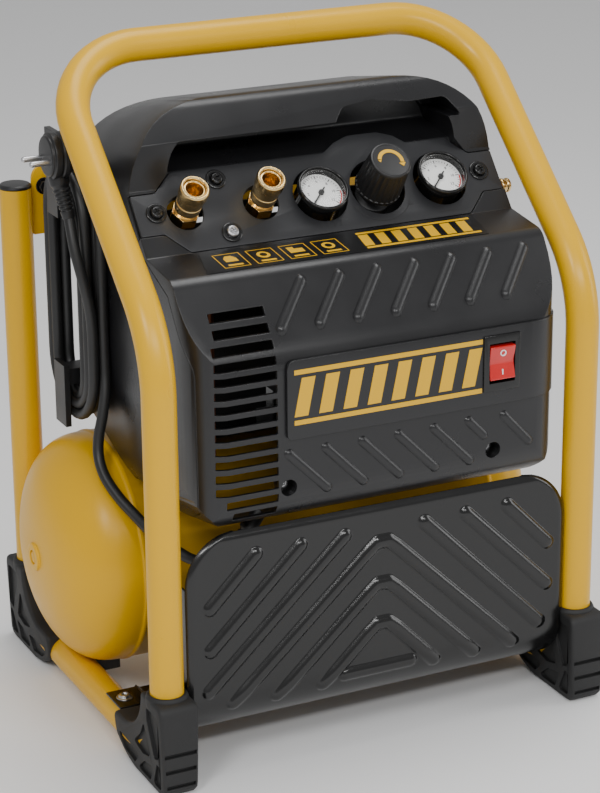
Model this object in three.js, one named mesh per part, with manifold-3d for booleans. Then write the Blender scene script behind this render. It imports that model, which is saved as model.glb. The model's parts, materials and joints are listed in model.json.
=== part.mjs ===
// A portable oil-free air compressor in a bent-tube carrying cage, in millimetres.
// +Z is up, the control side faces -Y, and +X is the right-hand side seen from the front.
// The origin is on the floor, under the middle of the machine's bounding box.

import * as THREE from 'three';
import { mergeVertices } from 'three/addons/utils/BufferGeometryUtils.js';
import Module from 'manifold-3d';

const wasm = await Module();
wasm.setup();

// ---------------------------------------------------------------- driving dimensions

const gap = 0.3;                  // between two pieces that touch
const deg = Math.PI / 180;

// cage
const tubeR = 14;                 // outer radius of the cage tube
const tubeWall = 1.6;
const cageHalfWidth = 192;        // middle of the tube, from the centre plane
const cageHalfDepth = 156;        // front legs and rear uprights, from the centre plane
const railHeight = 20;            // middle of the bottom rails above the floor
const uprightTop = 429;           // cut end of the rear uprights
const kneeHeight = 376;           // where the front legs start to lean back
const handleY = 55;
const handleZ = 565;
const footBendR = 60;
const kneeBendR = 100;
const handleBendR = 75;

// feet
const footHalfWidth = 17;
const footReach = 26;             // from the leg's middle to the outer face
const footRun = 76;               // from the leg's middle along the rail
const footCollar = 57;            // from the rail's middle up the leg

// tank
const tankR = 100.5;
const tankWall = 2.5;
const tankHalfLength = 170;       // the straight part
const domeDepth = 59;
const domeFullness = 2.35;        // 2 is an ellipse, more is squarer
const tankY = 44;
const tankZ = 132;
const saddleGrip = 14;            // under each end of the straight part
const plugBossR = 12.5;
const plugBossHeight = 2;

// skid plate
const plateHalfWidth = cageHalfWidth - footHalfWidth - gap;
const plateTop = 212;
const plateFront = -162;          // its front face
const plateThickness = 2;
const plateBendR = 40;
const plateBack = -45;
const plateCornerR = 42;
const tabReach = 28;              // of each tab over its rail, from the plate's edge

// covers
const bodyHalfWidth = 167;
const wall = 3;
const seamDepth = 14;             // how far the front cover wraps back from its face
const panelSlope = 50 * deg;      // of the control panel, above the horizontal
const panelLowY = -79;
const panelLowZ = 422;
const panelLength = 75;           // up the slope
const panelThickness = 3;
const hoodTopR = 90;              // the hood's rounded ends, seen from the front
const hoodFall = 0.2;             // how steeply those ends fall towards the back
const coverLowR = 58;             // the front cover's lower corners
const coverSideR = 40;            // its upright edges

// fittings on the panel: their axes rise more steeply than the panel's normal
const fittingRise = 50 * deg;
const fittingAlong = 36;          // up the panel's slope
const fittingX = { couplerLeft: -123, couplerRight: -56, tankGauge: -2, regulator: 51, lineGauge: 110 };
const manifoldDepth = 34;         // below the panel, along the fitting axes
const manifoldSize = 22;
const couplerR = 12.2;
const couplerHoleR = 15.3;
const gaugeR = 22;
const gaugeHoleR = 24;
const knobR = 20;
const knobHoleR = 24.5;
const knobHeight = 37;

// motor and pump
const shaftY = 30;
const shaftZ = 322;
const shaftR = 7;
const motorR = 60;
const motorFrom = -128;
const motorTo = -12;
const crankX = 50;                // middle of the cylinder
const throwR = 8;
const pistonR = 24;
const cylinderWall = 4;
const cylinderFrom = 356;
const cylinderTo = 398;

// cord
const cordR = 4.65;
const hankY = 60;
const hankLow = 300;              // centres of the hank's round ends
const hankHigh = 424;
const hankOuterR = 56;
const hankInnerR = 27;
const hankHalfThickness = 9.6;
const hankX = -(bodyHalfWidth + gap + hankHalfThickness);

// ---------------------------------------------------------------- materials

function finish(color, roughness, metalness) {
  return new THREE.MeshStandardMaterial({ color, roughness, metalness });
}

const yellowPaint = finish(0xe8bd1e, 0.38, 0.0);
const blackPaint = finish(0x2b2b2c, 0.4, 0.2);
const coverPlastic = finish(0x46464a, 0.5, 0.0);
const panelPlastic = finish(0x68686c, 0.55, 0.0);
const blackPlastic = finish(0x161617, 0.5, 0.0);
const greyRubber = finish(0x3b3b3a, 0.8, 0.0);
const cordRubber = finish(0x2a2a29, 0.7, 0.0);
const brass = finish(0xc79a4b, 0.3, 1.0);
const steel = finish(0xa9abad, 0.35, 1.0);
const castAluminium = finish(0xb4b5b6, 0.5, 0.9);
const copper = finish(0xb87345, 0.35, 1.0);
const redPlastic = finish(0xc3241d, 0.3, 0.0);

// ---------------------------------------------------------------- solids

function solid(geometry) {
  const bare = geometry.index ? geometry.toNonIndexed() : geometry.clone();
  bare.deleteAttribute('normal');
  bare.deleteAttribute('uv');
  const merged = mergeVertices(bare, 1e-4);
  const ids = merged.index.array;
  const kept = [];
  for (let i = 0; i < ids.length; i += 3) {
    const [a, b, c] = [ids[i], ids[i + 1], ids[i + 2]];
    if (a !== b && b !== c && c !== a) kept.push(a, b, c);
  }
  const make = (triVerts) => new wasm.Manifold(new wasm.Mesh({
    numProp: 3,
    vertProperties: merged.attributes.position.array,
    triVerts: new Uint32Array(triVerts),
  }));
  const made = make(kept);
  if (made.volume() > 0) return made;
  for (let i = 0; i < kept.length; i += 3) [kept[i + 1], kept[i + 2]] = [kept[i + 2], kept[i + 1]];
  return make(kept);
}

function geometryOf(made) {
  const mesh = made.getMesh();
  const geometry = new THREE.BufferGeometry();
  geometry.setAttribute('position', new THREE.BufferAttribute(new Float32Array(mesh.vertProperties), 3));
  geometry.setIndex(new THREE.BufferAttribute(new Uint32Array(mesh.triVerts), 1));
  geometry.computeVertexNormals();
  return geometry;
}

const joined = (...pieces) => pieces.reduce((a, b) => a.add(b));
const without = (piece, ...cutters) => cutters.reduce((a, b) => a.subtract(b), piece);
const common = (...pieces) => pieces.reduce((a, b) => a.intersect(b));

function moved(geometry, x, y, z) {
  return geometry.translate(x, y, z);
}

function box(xFrom, xTo, yFrom, yTo, zFrom, zTo) {
  const size = new THREE.BoxGeometry(xTo - xFrom, yTo - yFrom, zTo - zFrom);
  return solid(moved(size, (xFrom + xTo) / 2, (yFrom + yTo) / 2, (zFrom + zTo) / 2));
}

// A solid of revolution about Z, from [radius, height] points.
function turned(points, segments = 32) {
  const profile = points.map(([r, z]) => new THREE.Vector2(r, z));
  return new THREE.LatheGeometry(profile, segments).rotateX(Math.PI / 2);
}

// A closed ring about Z, whose profile doesn't touch the axis.
function ring(points, segments = 32) {
  return turned([...points, points[0]], segments);
}

function disc(radius, zFrom, zTo, segments = 32) {
  return turned([[0, zFrom], [radius, zFrom], [radius, zTo], [0, zTo]], segments);
}

function washer(inner, outer, zFrom, zTo, segments = 32) {
  return ring([[inner, zFrom], [outer, zFrom], [outer, zTo], [inner, zTo]], segments);
}

// Turns a geometry made about Z so that its axis lies along X.
const alongX = (geometry) => geometry.rotateY(Math.PI / 2);

// A polygon whose corners are [across, up, rounding radius].
function roundedShape(corners, arcSteps = 5) {
  const shape = new THREE.Shape();
  const count = corners.length;
  corners.forEach(([x, y, radius = 0], i) => {
    const before = corners[(i + count - 1) % count];
    const after = corners[(i + 1) % count];
    const toBefore = new THREE.Vector2(before[0] - x, before[1] - y);
    const toAfter = new THREE.Vector2(after[0] - x, after[1] - y);
    const half = Math.acos(THREE.MathUtils.clamp(
      toBefore.clone().normalize().dot(toAfter.clone().normalize()), -1, 1)) / 2;
    const reach = Math.min(radius / Math.tan(half), toBefore.length() * 0.49, toAfter.length() * 0.49);
    const points = [];
    if (radius > 0) {
      const start = new THREE.Vector2(x, y).add(toBefore.setLength(reach));
      const end = new THREE.Vector2(x, y).add(toAfter.setLength(reach));
      const arc = new THREE.QuadraticBezierCurve(start, new THREE.Vector2(x, y), end);
      points.push(...arc.getPoints(arcSteps));
    } else {
      points.push(new THREE.Vector2(x, y));
    }
    points.forEach((point, j) => {
      if (i === 0 && j === 0) shape.moveTo(point.x, point.y);
      else shape.lineTo(point.x, point.y);
    });
  });
  shape.closePath();
  return shape;
}

// The same polygon with each side moved inwards by a distance.
function inset(corners, distance) {
  const area = corners.reduce((sum, [x, y], i) => {
    const [nx, ny] = corners[(i + 1) % corners.length];
    return sum + x * ny - nx * y;
  }, 0);
  const turn = Math.sign(area) * distance;
  const sides = corners.map(([x, y], i) => {
    const [nx, ny] = corners[(i + 1) % corners.length];
    const length = Math.hypot(nx - x, ny - y);
    const dx = (nx - x) / length;
    const dy = (ny - y) / length;
    return { x: x - dy * turn, y: y + dx * turn, dx, dy };
  });
  return corners.map(([, , radius = 0], i) => {
    const a = sides[(i + sides.length - 1) % sides.length];
    const b = sides[i];
    const cross = a.dx * b.dy - a.dy * b.dx;
    const t = ((b.x - a.x) * b.dy - (b.y - a.y) * b.dx) / cross;
    return [a.x + a.dx * t, a.y + a.dy * t, Math.max(radius - distance, 0)];
  });
}

function extruded(shape, depth) {
  return new THREE.ExtrudeGeometry(shape, { depth, bevelEnabled: false, curveSegments: 8 });
}

// Shape coordinates are (Y, Z); the solid runs along X.
function alongWidth(shape, xFrom, xTo) {
  const basis = new THREE.Matrix4().makeBasis(
    new THREE.Vector3(0, 1, 0), new THREE.Vector3(0, 0, 1), new THREE.Vector3(1, 0, 0));
  return solid(moved(extruded(shape, xTo - xFrom).applyMatrix4(basis), xFrom, 0, 0));
}

// Shape coordinates are (X, Z); the solid runs along Y, and falls away from its true height at levelY.
function alongDepth(shape, yFrom, yTo, fall = 0, levelY = 0) {
  const block = moved(extruded(shape, yTo - yFrom).rotateX(Math.PI / 2), 0, yTo, 0);
  block.applyMatrix4(new THREE.Matrix4().makeShear(0, 0, 0, -fall, 0, 0));
  return solid(moved(block, 0, 0, fall * levelY));
}

// Shape coordinates are (X, Y); the solid runs along Z.
function upwards(shape, zFrom, zTo) {
  return solid(moved(extruded(shape, zTo - zFrom), 0, 0, zFrom));
}

function circle(radius, sides, x = 0, y = 0) {
  const points = [];
  for (let i = 0; i < sides; i += 1) {
    const angle = (i / sides) * 2 * Math.PI;
    points.push(new THREE.Vector2(x + radius * Math.cos(angle), y + radius * Math.sin(angle)));
  }
  return points;
}

// ---------------------------------------------------------------- bent tubes

// A path that is stepped exactly at its own stations, so straight runs cost one step each.
class StationPath extends THREE.Curve {
  constructor(stations) {
    super();
    this.stations = stations;
  }

  getPoint(t, target = new THREE.Vector3()) {
    const place = t * (this.stations.length - 1);
    const i = Math.min(Math.floor(place), this.stations.length - 2);
    return target.lerpVectors(this.stations[i].point, this.stations[i + 1].point, place - i);
  }

  getPointAt(t, target) {
    return this.getPoint(t, target);
  }

  getTangentAt(t, target = new THREE.Vector3()) {
    return target.copy(this.stations[Math.round(t * (this.stations.length - 1))].tangent);
  }

  getSpacedPoints(steps) {
    return Array.from({ length: steps + 1 }, (_, i) => this.getPoint(i / steps));
  }
}

// Straight runs between corners, each corner bent to its own radius.
function bentStations(corners, radii, arcSteps) {
  const stations = [];
  const add = (point, tangent) => stations.push({ point, tangent: tangent.clone().normalize() });
  corners.forEach((corner, i) => {
    if (i === 0 || i === corners.length - 1) {
      const along = i === 0 ? corners[1].clone().sub(corner) : corner.clone().sub(corners[i - 1]);
      add(corner.clone(), along);
      return;
    }
    const into = corner.clone().sub(corners[i - 1]).normalize();
    const out = corners[i + 1].clone().sub(corner).normalize();
    const bend = into.angleTo(out);
    const reach = radii[i - 1] * Math.tan(bend / 2);
    const inward = out.clone().sub(into.clone().multiplyScalar(into.dot(out))).normalize();
    const start = corner.clone().addScaledVector(into, -reach);
    const centre = start.clone().addScaledVector(inward, radii[i - 1]);
    const steps = Math.max(2, Math.round((bend / (90 * deg)) * arcSteps));
    for (let k = 0; k <= steps; k += 1) {
      const angle = (bend * k) / steps;
      const point = centre.clone()
        .addScaledVector(inward, -radii[i - 1] * Math.cos(angle))
        .addScaledVector(into, radii[i - 1] * Math.sin(angle));
      const tangent = into.clone().multiplyScalar(Math.cos(angle))
        .addScaledVector(inward, Math.sin(angle));
      add(point, tangent);
    }
  });
  return stations;
}

// A smooth run through points chosen by hand.
function splineStations(points, steps) {
  const curve = new THREE.CatmullRomCurve3(points.map((p) => new THREE.Vector3(...p)), false, 'centripetal');
  const stations = [];
  for (let i = 0; i <= steps; i += 1) {
    stations.push({ point: curve.getPointAt(i / steps), tangent: curve.getTangentAt(i / steps) });
  }
  return stations;
}

function swept(stations, radius, sides, boreRadius = 0) {
  const section = new THREE.Shape(circle(radius, sides));
  if (boreRadius > 0) section.holes.push(new THREE.Path(circle(boreRadius, sides)));
  const path = new StationPath(stations);
  return solid(new THREE.ExtrudeGeometry(section, { steps: stations.length - 1, extrudePath: path }));
}

const vector = (x, y, z) => new THREE.Vector3(x, y, z);

// ---------------------------------------------------------------- the assembly

const compressor = new THREE.Group();

function node(name, piece, material, parent = compressor) {
  const geometry = piece.isBufferGeometry ? geometryOf(solid(piece)) : geometryOf(piece);
  const mesh = new THREE.Mesh(geometry, material);
  mesh.name = name;
  parent.add(mesh);
  return mesh;
}

const sides = [['left', -1], ['right', 1]];

// ---------------------------------------------------------------- cage

const cageCorners = [
  vector(-cageHalfWidth, cageHalfDepth, uprightTop),
  vector(-cageHalfWidth, cageHalfDepth, railHeight),
  vector(-cageHalfWidth, -cageHalfDepth, railHeight),
  vector(-cageHalfWidth, -cageHalfDepth, kneeHeight),
  vector(-cageHalfWidth, handleY, handleZ),
  vector(cageHalfWidth, handleY, handleZ),
  vector(cageHalfWidth, -cageHalfDepth, kneeHeight),
  vector(cageHalfWidth, -cageHalfDepth, railHeight),
  vector(cageHalfWidth, cageHalfDepth, railHeight),
  vector(cageHalfWidth, cageHalfDepth, uprightTop),
];
const halfRadii = [footBendR, footBendR, kneeBendR, handleBendR];
const cageRadii = [...halfRadii, ...[...halfRadii].reverse()];
const cageStations = bentStations(cageCorners, cageRadii, 4);
const cageTube = swept(cageStations, tubeR, 16, tubeR - tubeWall);
node('cage_tube', cageTube, yellowPaint);

const tubeRoom = swept(cageStations, tubeR + gap, 16);

// Each end cap is a plug with a thin rim over the tube's cut end.
for (const [side, sign] of sides) {
  const capRim = 3.6;
  const capPlug = 14;
  const cap = moved(turned([
    [0, -capPlug], [tubeR - tubeWall - gap, -capPlug], [tubeR - tubeWall - gap, gap],
    [tubeR, gap], [tubeR, capRim - 1], [tubeR - 1.5, capRim], [0, capRim],
  ], 16), sign * cageHalfWidth, cageHalfDepth, uprightTop);
  node(`upright_cap_${side}`, cap, blackPlastic);
}

// The cross plate between the tops of the two rear uprights.
const crossPlateLow = 385;
const crossPlateHigh = 447;
const crossPlateHalf = cageHalfWidth - tubeR - gap;
const crossPlate = alongDepth(roundedShape([
  [-crossPlateHalf, crossPlateLow, 2], [crossPlateHalf, crossPlateLow, 2],
  [crossPlateHalf, crossPlateHigh, 14], [-crossPlateHalf, crossPlateHigh, 14],
]), cageHalfDepth - 1.5, cageHalfDepth + 1.5);
node('rear_cross_plate', crossPlate, yellowPaint);

// Corner feet: rubber blocks moulded round the bottom bends.
function footShape() {
  const shape = new THREE.Shape();
  const floor = -railHeight;
  const saddleR = footBendR - tubeR - 3;
  shape.moveTo(-footReach, -8);
  shape.quadraticCurveTo(-footReach, floor, -12, floor);
  shape.lineTo(38, floor);
  shape.quadraticCurveTo(62, floor + 3, footRun, -5);
  shape.lineTo(footRun + 2, tubeR - 2);
  shape.lineTo(footRun - 2, footBendR - saddleR);
  shape.lineTo(footBendR, footBendR - saddleR);
  for (let k = 1; k <= 6; k += 1) {
    const angle = (k / 6) * 90 * deg;
    shape.lineTo(footBendR - saddleR * Math.sin(angle), footBendR - saddleR * Math.cos(angle));
  }
  shape.lineTo(-footReach + 6, footCollar);
  shape.lineTo(-footReach, footCollar - 8);
  shape.closePath();
  return shape;
}

for (const [side, sign] of sides) {
  for (const [end, facing] of [['front', 1], ['rear', -1]]) {
    const block = alongWidth(footShape(), -footHalfWidth, footHalfWidth)
      .scale([1, facing, 1])
      .translate([sign * cageHalfWidth, -facing * cageHalfDepth, railHeight]);
    node(`foot_${end}_${side}`, without(block, tubeRoom), greyRubber);
  }
}

// ---------------------------------------------------------------- tank

const tankAt = (made) => made.translate([0, tankY, tankZ]);
const tankInnerR = tankR - tankWall;
const straight = tankHalfLength - gap / 2;
node('tank_shell', tankAt(solid(alongX(washer(tankInnerR, tankR, -straight, straight, 48)))), yellowPaint);

function domePoints(radius, depth, steps) {
  const power = 2 / domeFullness;
  const points = [];
  for (let i = 0; i <= steps; i += 1) {
    const angle = (i / steps) * 90 * deg;
    points.push([
      radius * Math.max(Math.cos(angle), 0) ** power,
      depth * Math.sin(angle) ** power,
    ]);
  }
  return points;
}

const domeSteps = 8;
const domeOuter = domePoints(tankR, domeDepth, domeSteps);
const domeInner = domePoints(tankInnerR, domeDepth - tankWall, domeSteps).reverse();
const tankRoom = gap + 0.6;
const domeRoom = solid(moved(alongX(turned([
  [0, -1], [tankR + tankRoom, -1], ...domePoints(tankR + tankRoom, domeDepth + tankRoom, domeSteps),
], 36)), tankHalfLength, 0, 0));
const tankSpace = tankAt(joined(
  solid(alongX(disc(tankR + tankRoom, -tankHalfLength, tankHalfLength, 48))),
  domeRoom,
  domeRoom.scale([-1, 1, 1]),
));

for (const [side, sign] of sides) {
  const head = solid(moved(alongX(ring([...domeOuter, ...domeInner], 36)), tankHalfLength + gap / 2, 0, 0));
  const boss = solid(moved(alongX(turned([
    [0, -1.5], [plugBossR, -1.5], [plugBossR, plugBossHeight - 0.8], [plugBossR - 1.5, plugBossHeight],
    [5.5, plugBossHeight], [5.5, plugBossHeight - 1], [0, plugBossHeight - 1],
  ], 20)), tankHalfLength + domeDepth, 0, 0));
  node(`tank_head_${side}`, tankAt(joined(head, boss).scale([sign, 1, 1])), yellowPaint);
}

// Saddles that hold the tank on the bottom rails.
for (const [side, sign] of sides) {
  const saddleFrom = tankHalfLength - saddleGrip;
  const saddle = box(saddleFrom, cageHalfWidth, tankY - 6, tankY + 32, railHeight - 6, railHeight + 40);
  node(`tank_saddle_${side}`, without(saddle.scale([sign, 1, 1]), tubeRoom, tankSpace), blackPaint);
}

// Drain valve under the tank.
const drainX = 60;
const drainTop = tankZ - tankR - gap;
const drainKnobTop = 14;
node('drain_valve_body', moved(turned([
  [0, drainKnobTop + gap], [5, drainKnobTop + gap], [5, 18], [8.5, 18], [8.5, drainTop], [0, drainTop],
], 12), drainX, tankY, 0), brass);
node('drain_valve_knob', moved(turned([
  [0, 5], [7, 5], [8.5, 6.5], [8.5, 12.5], [7, drainKnobTop], [0, drainKnobTop],
], 12), drainX, tankY, 0), brass);

// ---------------------------------------------------------------- skid plate

const plateBackFace = plateFront + plateThickness;
const plateFloor = railHeight + tubeR + gap;
const plateSection = new THREE.Shape();
plateSection.moveTo(plateFront, plateTop);
for (let k = 0; k <= 6; k += 1) {
  const angle = (k / 6) * 90 * deg;
  const y = plateFront + plateBendR - plateBendR * Math.cos(angle);
  plateSection.lineTo(y, plateFloor + plateBendR - plateBendR * Math.sin(angle));
}
plateSection.lineTo(plateBack, plateFloor);
plateSection.lineTo(plateBack, plateFloor + plateThickness);
for (let k = 6; k >= 0; k -= 1) {
  const angle = (k / 6) * 90 * deg;
  const radius = plateBendR - plateThickness;
  const y = plateFront + plateBendR - radius * Math.cos(angle);
  plateSection.lineTo(y, plateFloor + plateBendR - radius * Math.sin(angle));
}
plateSection.lineTo(plateBackFace, plateTop);
plateSection.closePath();

const tabWidth = 34;
const tabEdge = plateHalfWidth + tabReach;
const plateOutline = roundedShape([
  [-tabEdge, plateFloor - 1, 2], [tabEdge, plateFloor - 1, 2], [tabEdge, plateFloor + 4, 2],
  [plateHalfWidth, plateFloor + 6, 0], [plateHalfWidth, plateTop, plateCornerR],
  [-plateHalfWidth, plateTop, plateCornerR], [-plateHalfWidth, plateFloor + 6, 0],
  [-tabEdge, plateFloor + 4, 2],
]);
const plateSheet = common(
  alongWidth(plateSection, -tabEdge, tabEdge),
  alongDepth(plateOutline, plateFront - 1, plateBack + 1),
);
const tabFrom = plateBack - tabWidth;
const tabCutters = sides.map(([, sign]) => {
  const cutter = box(plateHalfWidth, tabEdge + 1, plateFront - 1, tabFrom, plateFloor - 2, plateFloor + 60);
  return cutter.scale([sign, 1, 1]);
});
const flanges = sides.map(([, sign]) => {
  const flange = box(plateHalfWidth - plateThickness, plateHalfWidth, plateBackFace - 0.5, plateFront + 16,
    plateFloor + plateBendR, plateTop - plateCornerR);
  return flange.scale([sign, 1, 1]);
});
node('skid_plate', joined(without(plateSheet, ...tabCutters), ...flanges), blackPaint);

// ---------------------------------------------------------------- covers

const panelDir = { y: Math.cos(panelSlope), z: Math.sin(panelSlope) };
const onPanel = (along, out = 0) => [
  panelLowY + along * panelDir.y - out * panelDir.z,
  panelLowZ + along * panelDir.z + out * panelDir.y,
];

// The side view of the cover: [Y, Z, rounding].
const hoodLipY = -41;
const hoodLipZ = 504;
const hoodFoot = (hoodLipY - panelLowY) / panelDir.y;
const crestY = -19;
const bodyTop = 533;
const bodyLow = 182.5;
const bodyBack = 100;
const bodyFront = -171;
const bodyProfile = [
  [-104, 200, 4],
  [bodyFront, 222, 34],
  [bodyFront + 1, 356, 44],
  [-128, 416, 16],
  [...onPanel(0), 2],
  [...onPanel(hoodFoot), 0],
  [hoodLipY, hoodLipZ, 3],
  [crestY, bodyTop, 14],
  [bodyBack - 16, 512, 30],
  [bodyBack, 470, 20],
  [bodyBack, 264, 12],
  [36, 246, 20],
  [-44, 216, 20],
];

// The recess between the panel's top edge and the hood.
const recessHalfWidth = 132;
const recessBack = 14;
const recessCorners = [
  [...onPanel(hoodFoot - 12, -2), 0],
  [...onPanel(panelLength - 1, -2), 0],
  [recessBack, hoodLipZ - 18, 4],
  [recessBack, hoodLipZ + 9, 6],
  [hoodLipY - 12, hoodLipZ - 2, 0],
];

const recessOutline = [
  [-recessHalfWidth, panelLowZ, 0], [recessHalfWidth, panelLowZ, 0],
  [recessHalfWidth, hoodLipZ + 9, 40], [-recessHalfWidth, hoodLipZ + 9, 40],
];

const frontOutline = [
  [-bodyHalfWidth, bodyLow, coverLowR], [bodyHalfWidth, bodyLow, coverLowR],
  [bodyHalfWidth, bodyTop, hoodTopR], [-bodyHalfWidth, bodyTop, hoodTopR],
];
const planOutline = [
  [-bodyHalfWidth, bodyFront - 1, coverSideR], [bodyHalfWidth, bodyFront - 1, coverSideR],
  [bodyHalfWidth, bodyBack, 30], [-bodyHalfWidth, bodyBack, 30],
];

function bodySolid(inwards) {
  const recess = recessHalfWidth + inwards;
  return common(
    alongWidth(roundedShape(inset(bodyProfile, inwards), 4), -bodyHalfWidth - 1, bodyHalfWidth + 1),
    alongDepth(roundedShape(inset(frontOutline, inwards), 5), bodyFront - 5, bodyBack + 5, hoodFall, crestY),
    upwards(roundedShape(inset(planOutline, inwards), 4), bodyLow - 5, bodyTop + 5),
  ).subtract(common(
    alongWidth(roundedShape(inset(recessCorners, -inwards), 4), -recess, recess),
    alongDepth(roundedShape(inset(recessOutline, -inwards), 4), hoodLipY - 40, recessBack + 20),
  ));
}

const bodyOuter = bodySolid(0);
const bodyInner = bodySolid(wall);

// The open underside, between the front cover's lip and the rear wall.
const underside = alongWidth(roundedShape([
  [-112, 150], [-100, 207], [-44, 222], [36, 252], [bodyBack - wall - 1, 271], [bodyBack - wall - 1, 150],
]), -bodyHalfWidth + wall, bodyHalfWidth - wall);

const bodyShell = without(bodyOuter, bodyInner, underside);

// The front cover is the part of the shell within seamDepth of its face.
const seamAlong = 19;
const [, seamLow, seamHigh, seamShelf] = inset(bodyProfile, seamDepth);
const seamCorners = [
  [-100, 150, 0],
  [-100, 204, 0],
  [seamLow[0], seamLow[1], 0],
  [seamHigh[0], seamHigh[1], 30],
  [seamShelf[0], seamShelf[1], 0],
  [...onPanel(seamAlong, -seamDepth), 0],
  [...onPanel(seamAlong, 30), 0],
  [-260, 480, 0],
  [-260, 150, 0],
];
function seamZone(grow) {
  const reach = bodyHalfWidth + 2;
  return alongWidth(roundedShape(inset(seamCorners, -grow), 6), -reach, reach);
}

// The control panel's outline, across and up its slope.
const panelHalf = bodyHalfWidth;
function panelOutline(grow) {
  const half = panelHalf + 4 * grow;
  const raised = panelLength - 2;
  const rightSide = [
    [128, 0.6, 5], [146, 19, 3], [half, 19, 2], [half, 56, 2], [144, 56, 6], [126, raised, 6],
  ];
  const hump = [[84, raised, 8], [72, raised + 1.2, 6], [30, raised + 1.2, 6], [18, raised, 8]];
  const leftSide = rightSide.map(([x, s, r]) => [-x, s, r]).reverse();
  return inset([...rightSide, ...hump, ...leftSide], -grow);
}

const panelFrame = new THREE.Group();
panelFrame.position.set(0, panelLowY, panelLowZ);
panelFrame.rotation.x = panelSlope;
compressor.add(panelFrame);
panelFrame.updateMatrixWorld(true);

const fittingAt = onPanel(fittingAlong);
const fittingFrame = new THREE.Group();
fittingFrame.position.set(0, fittingAt[0], fittingAt[1]);
fittingFrame.rotation.x = 90 * deg - fittingRise;
compressor.add(fittingFrame);
fittingFrame.updateMatrixWorld(true);

const inWorld = (frame, geometry) => solid(geometry.clone().applyMatrix4(frame.matrixWorld));
const panelCut = inWorld(panelFrame, moved(extruded(roundedShape(panelOutline(gap)), panelThickness + 12),
  0, 0, -panelThickness - gap));

// Panel screws: [across, up the slope].
const panelScrews = [[-148, 38], [-89, 61], [-89, 13], [148, 38]];
const screwHoleR = 2.6;

const fittingHoles = [
  [fittingX.couplerLeft, couplerHoleR], [fittingX.couplerRight, couplerHoleR],
  [fittingX.tankGauge, gaugeHoleR], [fittingX.regulator, knobHoleR], [fittingX.lineGauge, gaugeHoleR],
];
const holeCutters = fittingHoles.map(([x, radius]) => (
  inWorld(fittingFrame, moved(disc(radius, -18, 18, 24), x, 0, 0))));
const screwCutters = panelScrews.map(([x, along]) => (
  inWorld(panelFrame, moved(disc(screwHoleR, -20, 8, 10), x, along, 0))));
const panelSheet = inWorld(panelFrame,
  moved(extruded(roundedShape(panelOutline(0)), panelThickness), 0, 0, -panelThickness));
node('control_panel', without(panelSheet, ...holeCutters, ...screwCutters), panelPlastic);

panelScrews.forEach(([x, along], i) => {
  const screw = moved(turned([
    [0, -9], [2, -9], [2, gap], [8.6, gap], [8.6, 1.6], [5.6, 1.8], [5.2, 3.8], [3.2, 4.6],
    [2.2, 4.6], [1.8, 2.4], [0, 2.4],
  ], 12), x, along, 0);
  node(`panel_screw_${i + 1}`, screw, blackPaint, panelFrame);
});

// Front cover cut-outs.
const ventCount = 15;
const ventLow = 224;
const ventPitch = 11.5;
const ventHeight = 7;
const ventFrom = -150;
const ventTo = -97;
const vents = [];
for (let i = 0; i < ventCount; i += 1) {
  const low = ventLow + i * ventPitch;
  const from = ventFrom + (i < 2 ? 15 - 7 * i : 0) + (i > ventCount - 3 ? 5 : 0);
  vents.push(box(from, ventTo, -200, -120, low, low + ventHeight));
}
const switchX = 104;
const switchZ = 323;
const switchHalfWidth = 14.5;
const switchHalfHeight = 20.5;
const switchHole = box(switchX - switchHalfWidth, switchX + switchHalfWidth, -200, -120,
  switchZ - switchHalfHeight, switchZ + switchHalfHeight);
const coverScrewX = [-88, 99];
const coverScrewZ = 246;
const coverScrewHoles = coverScrewX.map((x) => (
  solid(moved(disc(7, -40, 40, 20).rotateX(Math.PI / 2), x, -171, coverScrewZ))));

const sealHoleR = 6.5;
const glandAt = vector(-100, -132, 209.2);
const glandAim = vector(-0.6, 0, -0.8);
function aimed(geometry, at, aim) {
  const turn = new THREE.Quaternion().setFromUnitVectors(vector(0, 0, 1), aim);
  return solid(geometry.applyQuaternion(turn).translate(at.x, at.y, at.z));
}
const glandHole = aimed(disc(sealHoleR + gap, -20, 20, 16), glandAt, glandAim);

const frontZone = seamZone(0);
const rearZone = seamZone(gap);
node('front_cover', without(common(bodyShell, frontZone), panelCut, ...vents, switchHole,
  ...coverScrewHoles, glandHole, ...screwCutters), coverPlastic);

// Rear cover: the hood, the side walls and the back, with louvres in the back wall.
const louvres = [];
for (let row = 0; row < 7; row += 1) {
  const low = 300 + row * 18;
  louvres.push(box(-120, 120, bodyBack - wall - 4, bodyBack + 2, low, low + 8));
}
const safetyY = -50;
const safetyZ = 434;
const safetyR = 6.5;
const safetyHole = solid(moved(alongX(disc(safetyR + 1, 150, 175, 16)), 0, safetyY, safetyZ));
const rearShell = without(bodyShell, rearZone, panelCut, safetyHole, ...holeCutters, ...screwCutters,
  ...louvres);
node('rear_cover', rearShell, coverPlastic);

// ---------------------------------------------------------------- air fittings

function fitting(name, geometry, material) {
  return node(name, geometry, material, fittingFrame);
}

const manifoldFrom = -150;
const manifoldTo = 148;
const manifoldTop = -manifoldDepth;
fitting('air_manifold', joined(
  solid(moved(new THREE.BoxGeometry(manifoldTo - manifoldFrom, manifoldSize, manifoldSize),
    (manifoldFrom + manifoldTo) / 2, 0, manifoldTop - manifoldSize / 2)),
  solid(moved(disc(7, manifoldTop - 2, manifoldTop + 8, 16), manifoldTo - 10, 0, 0)),
), castAluminium);

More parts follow.
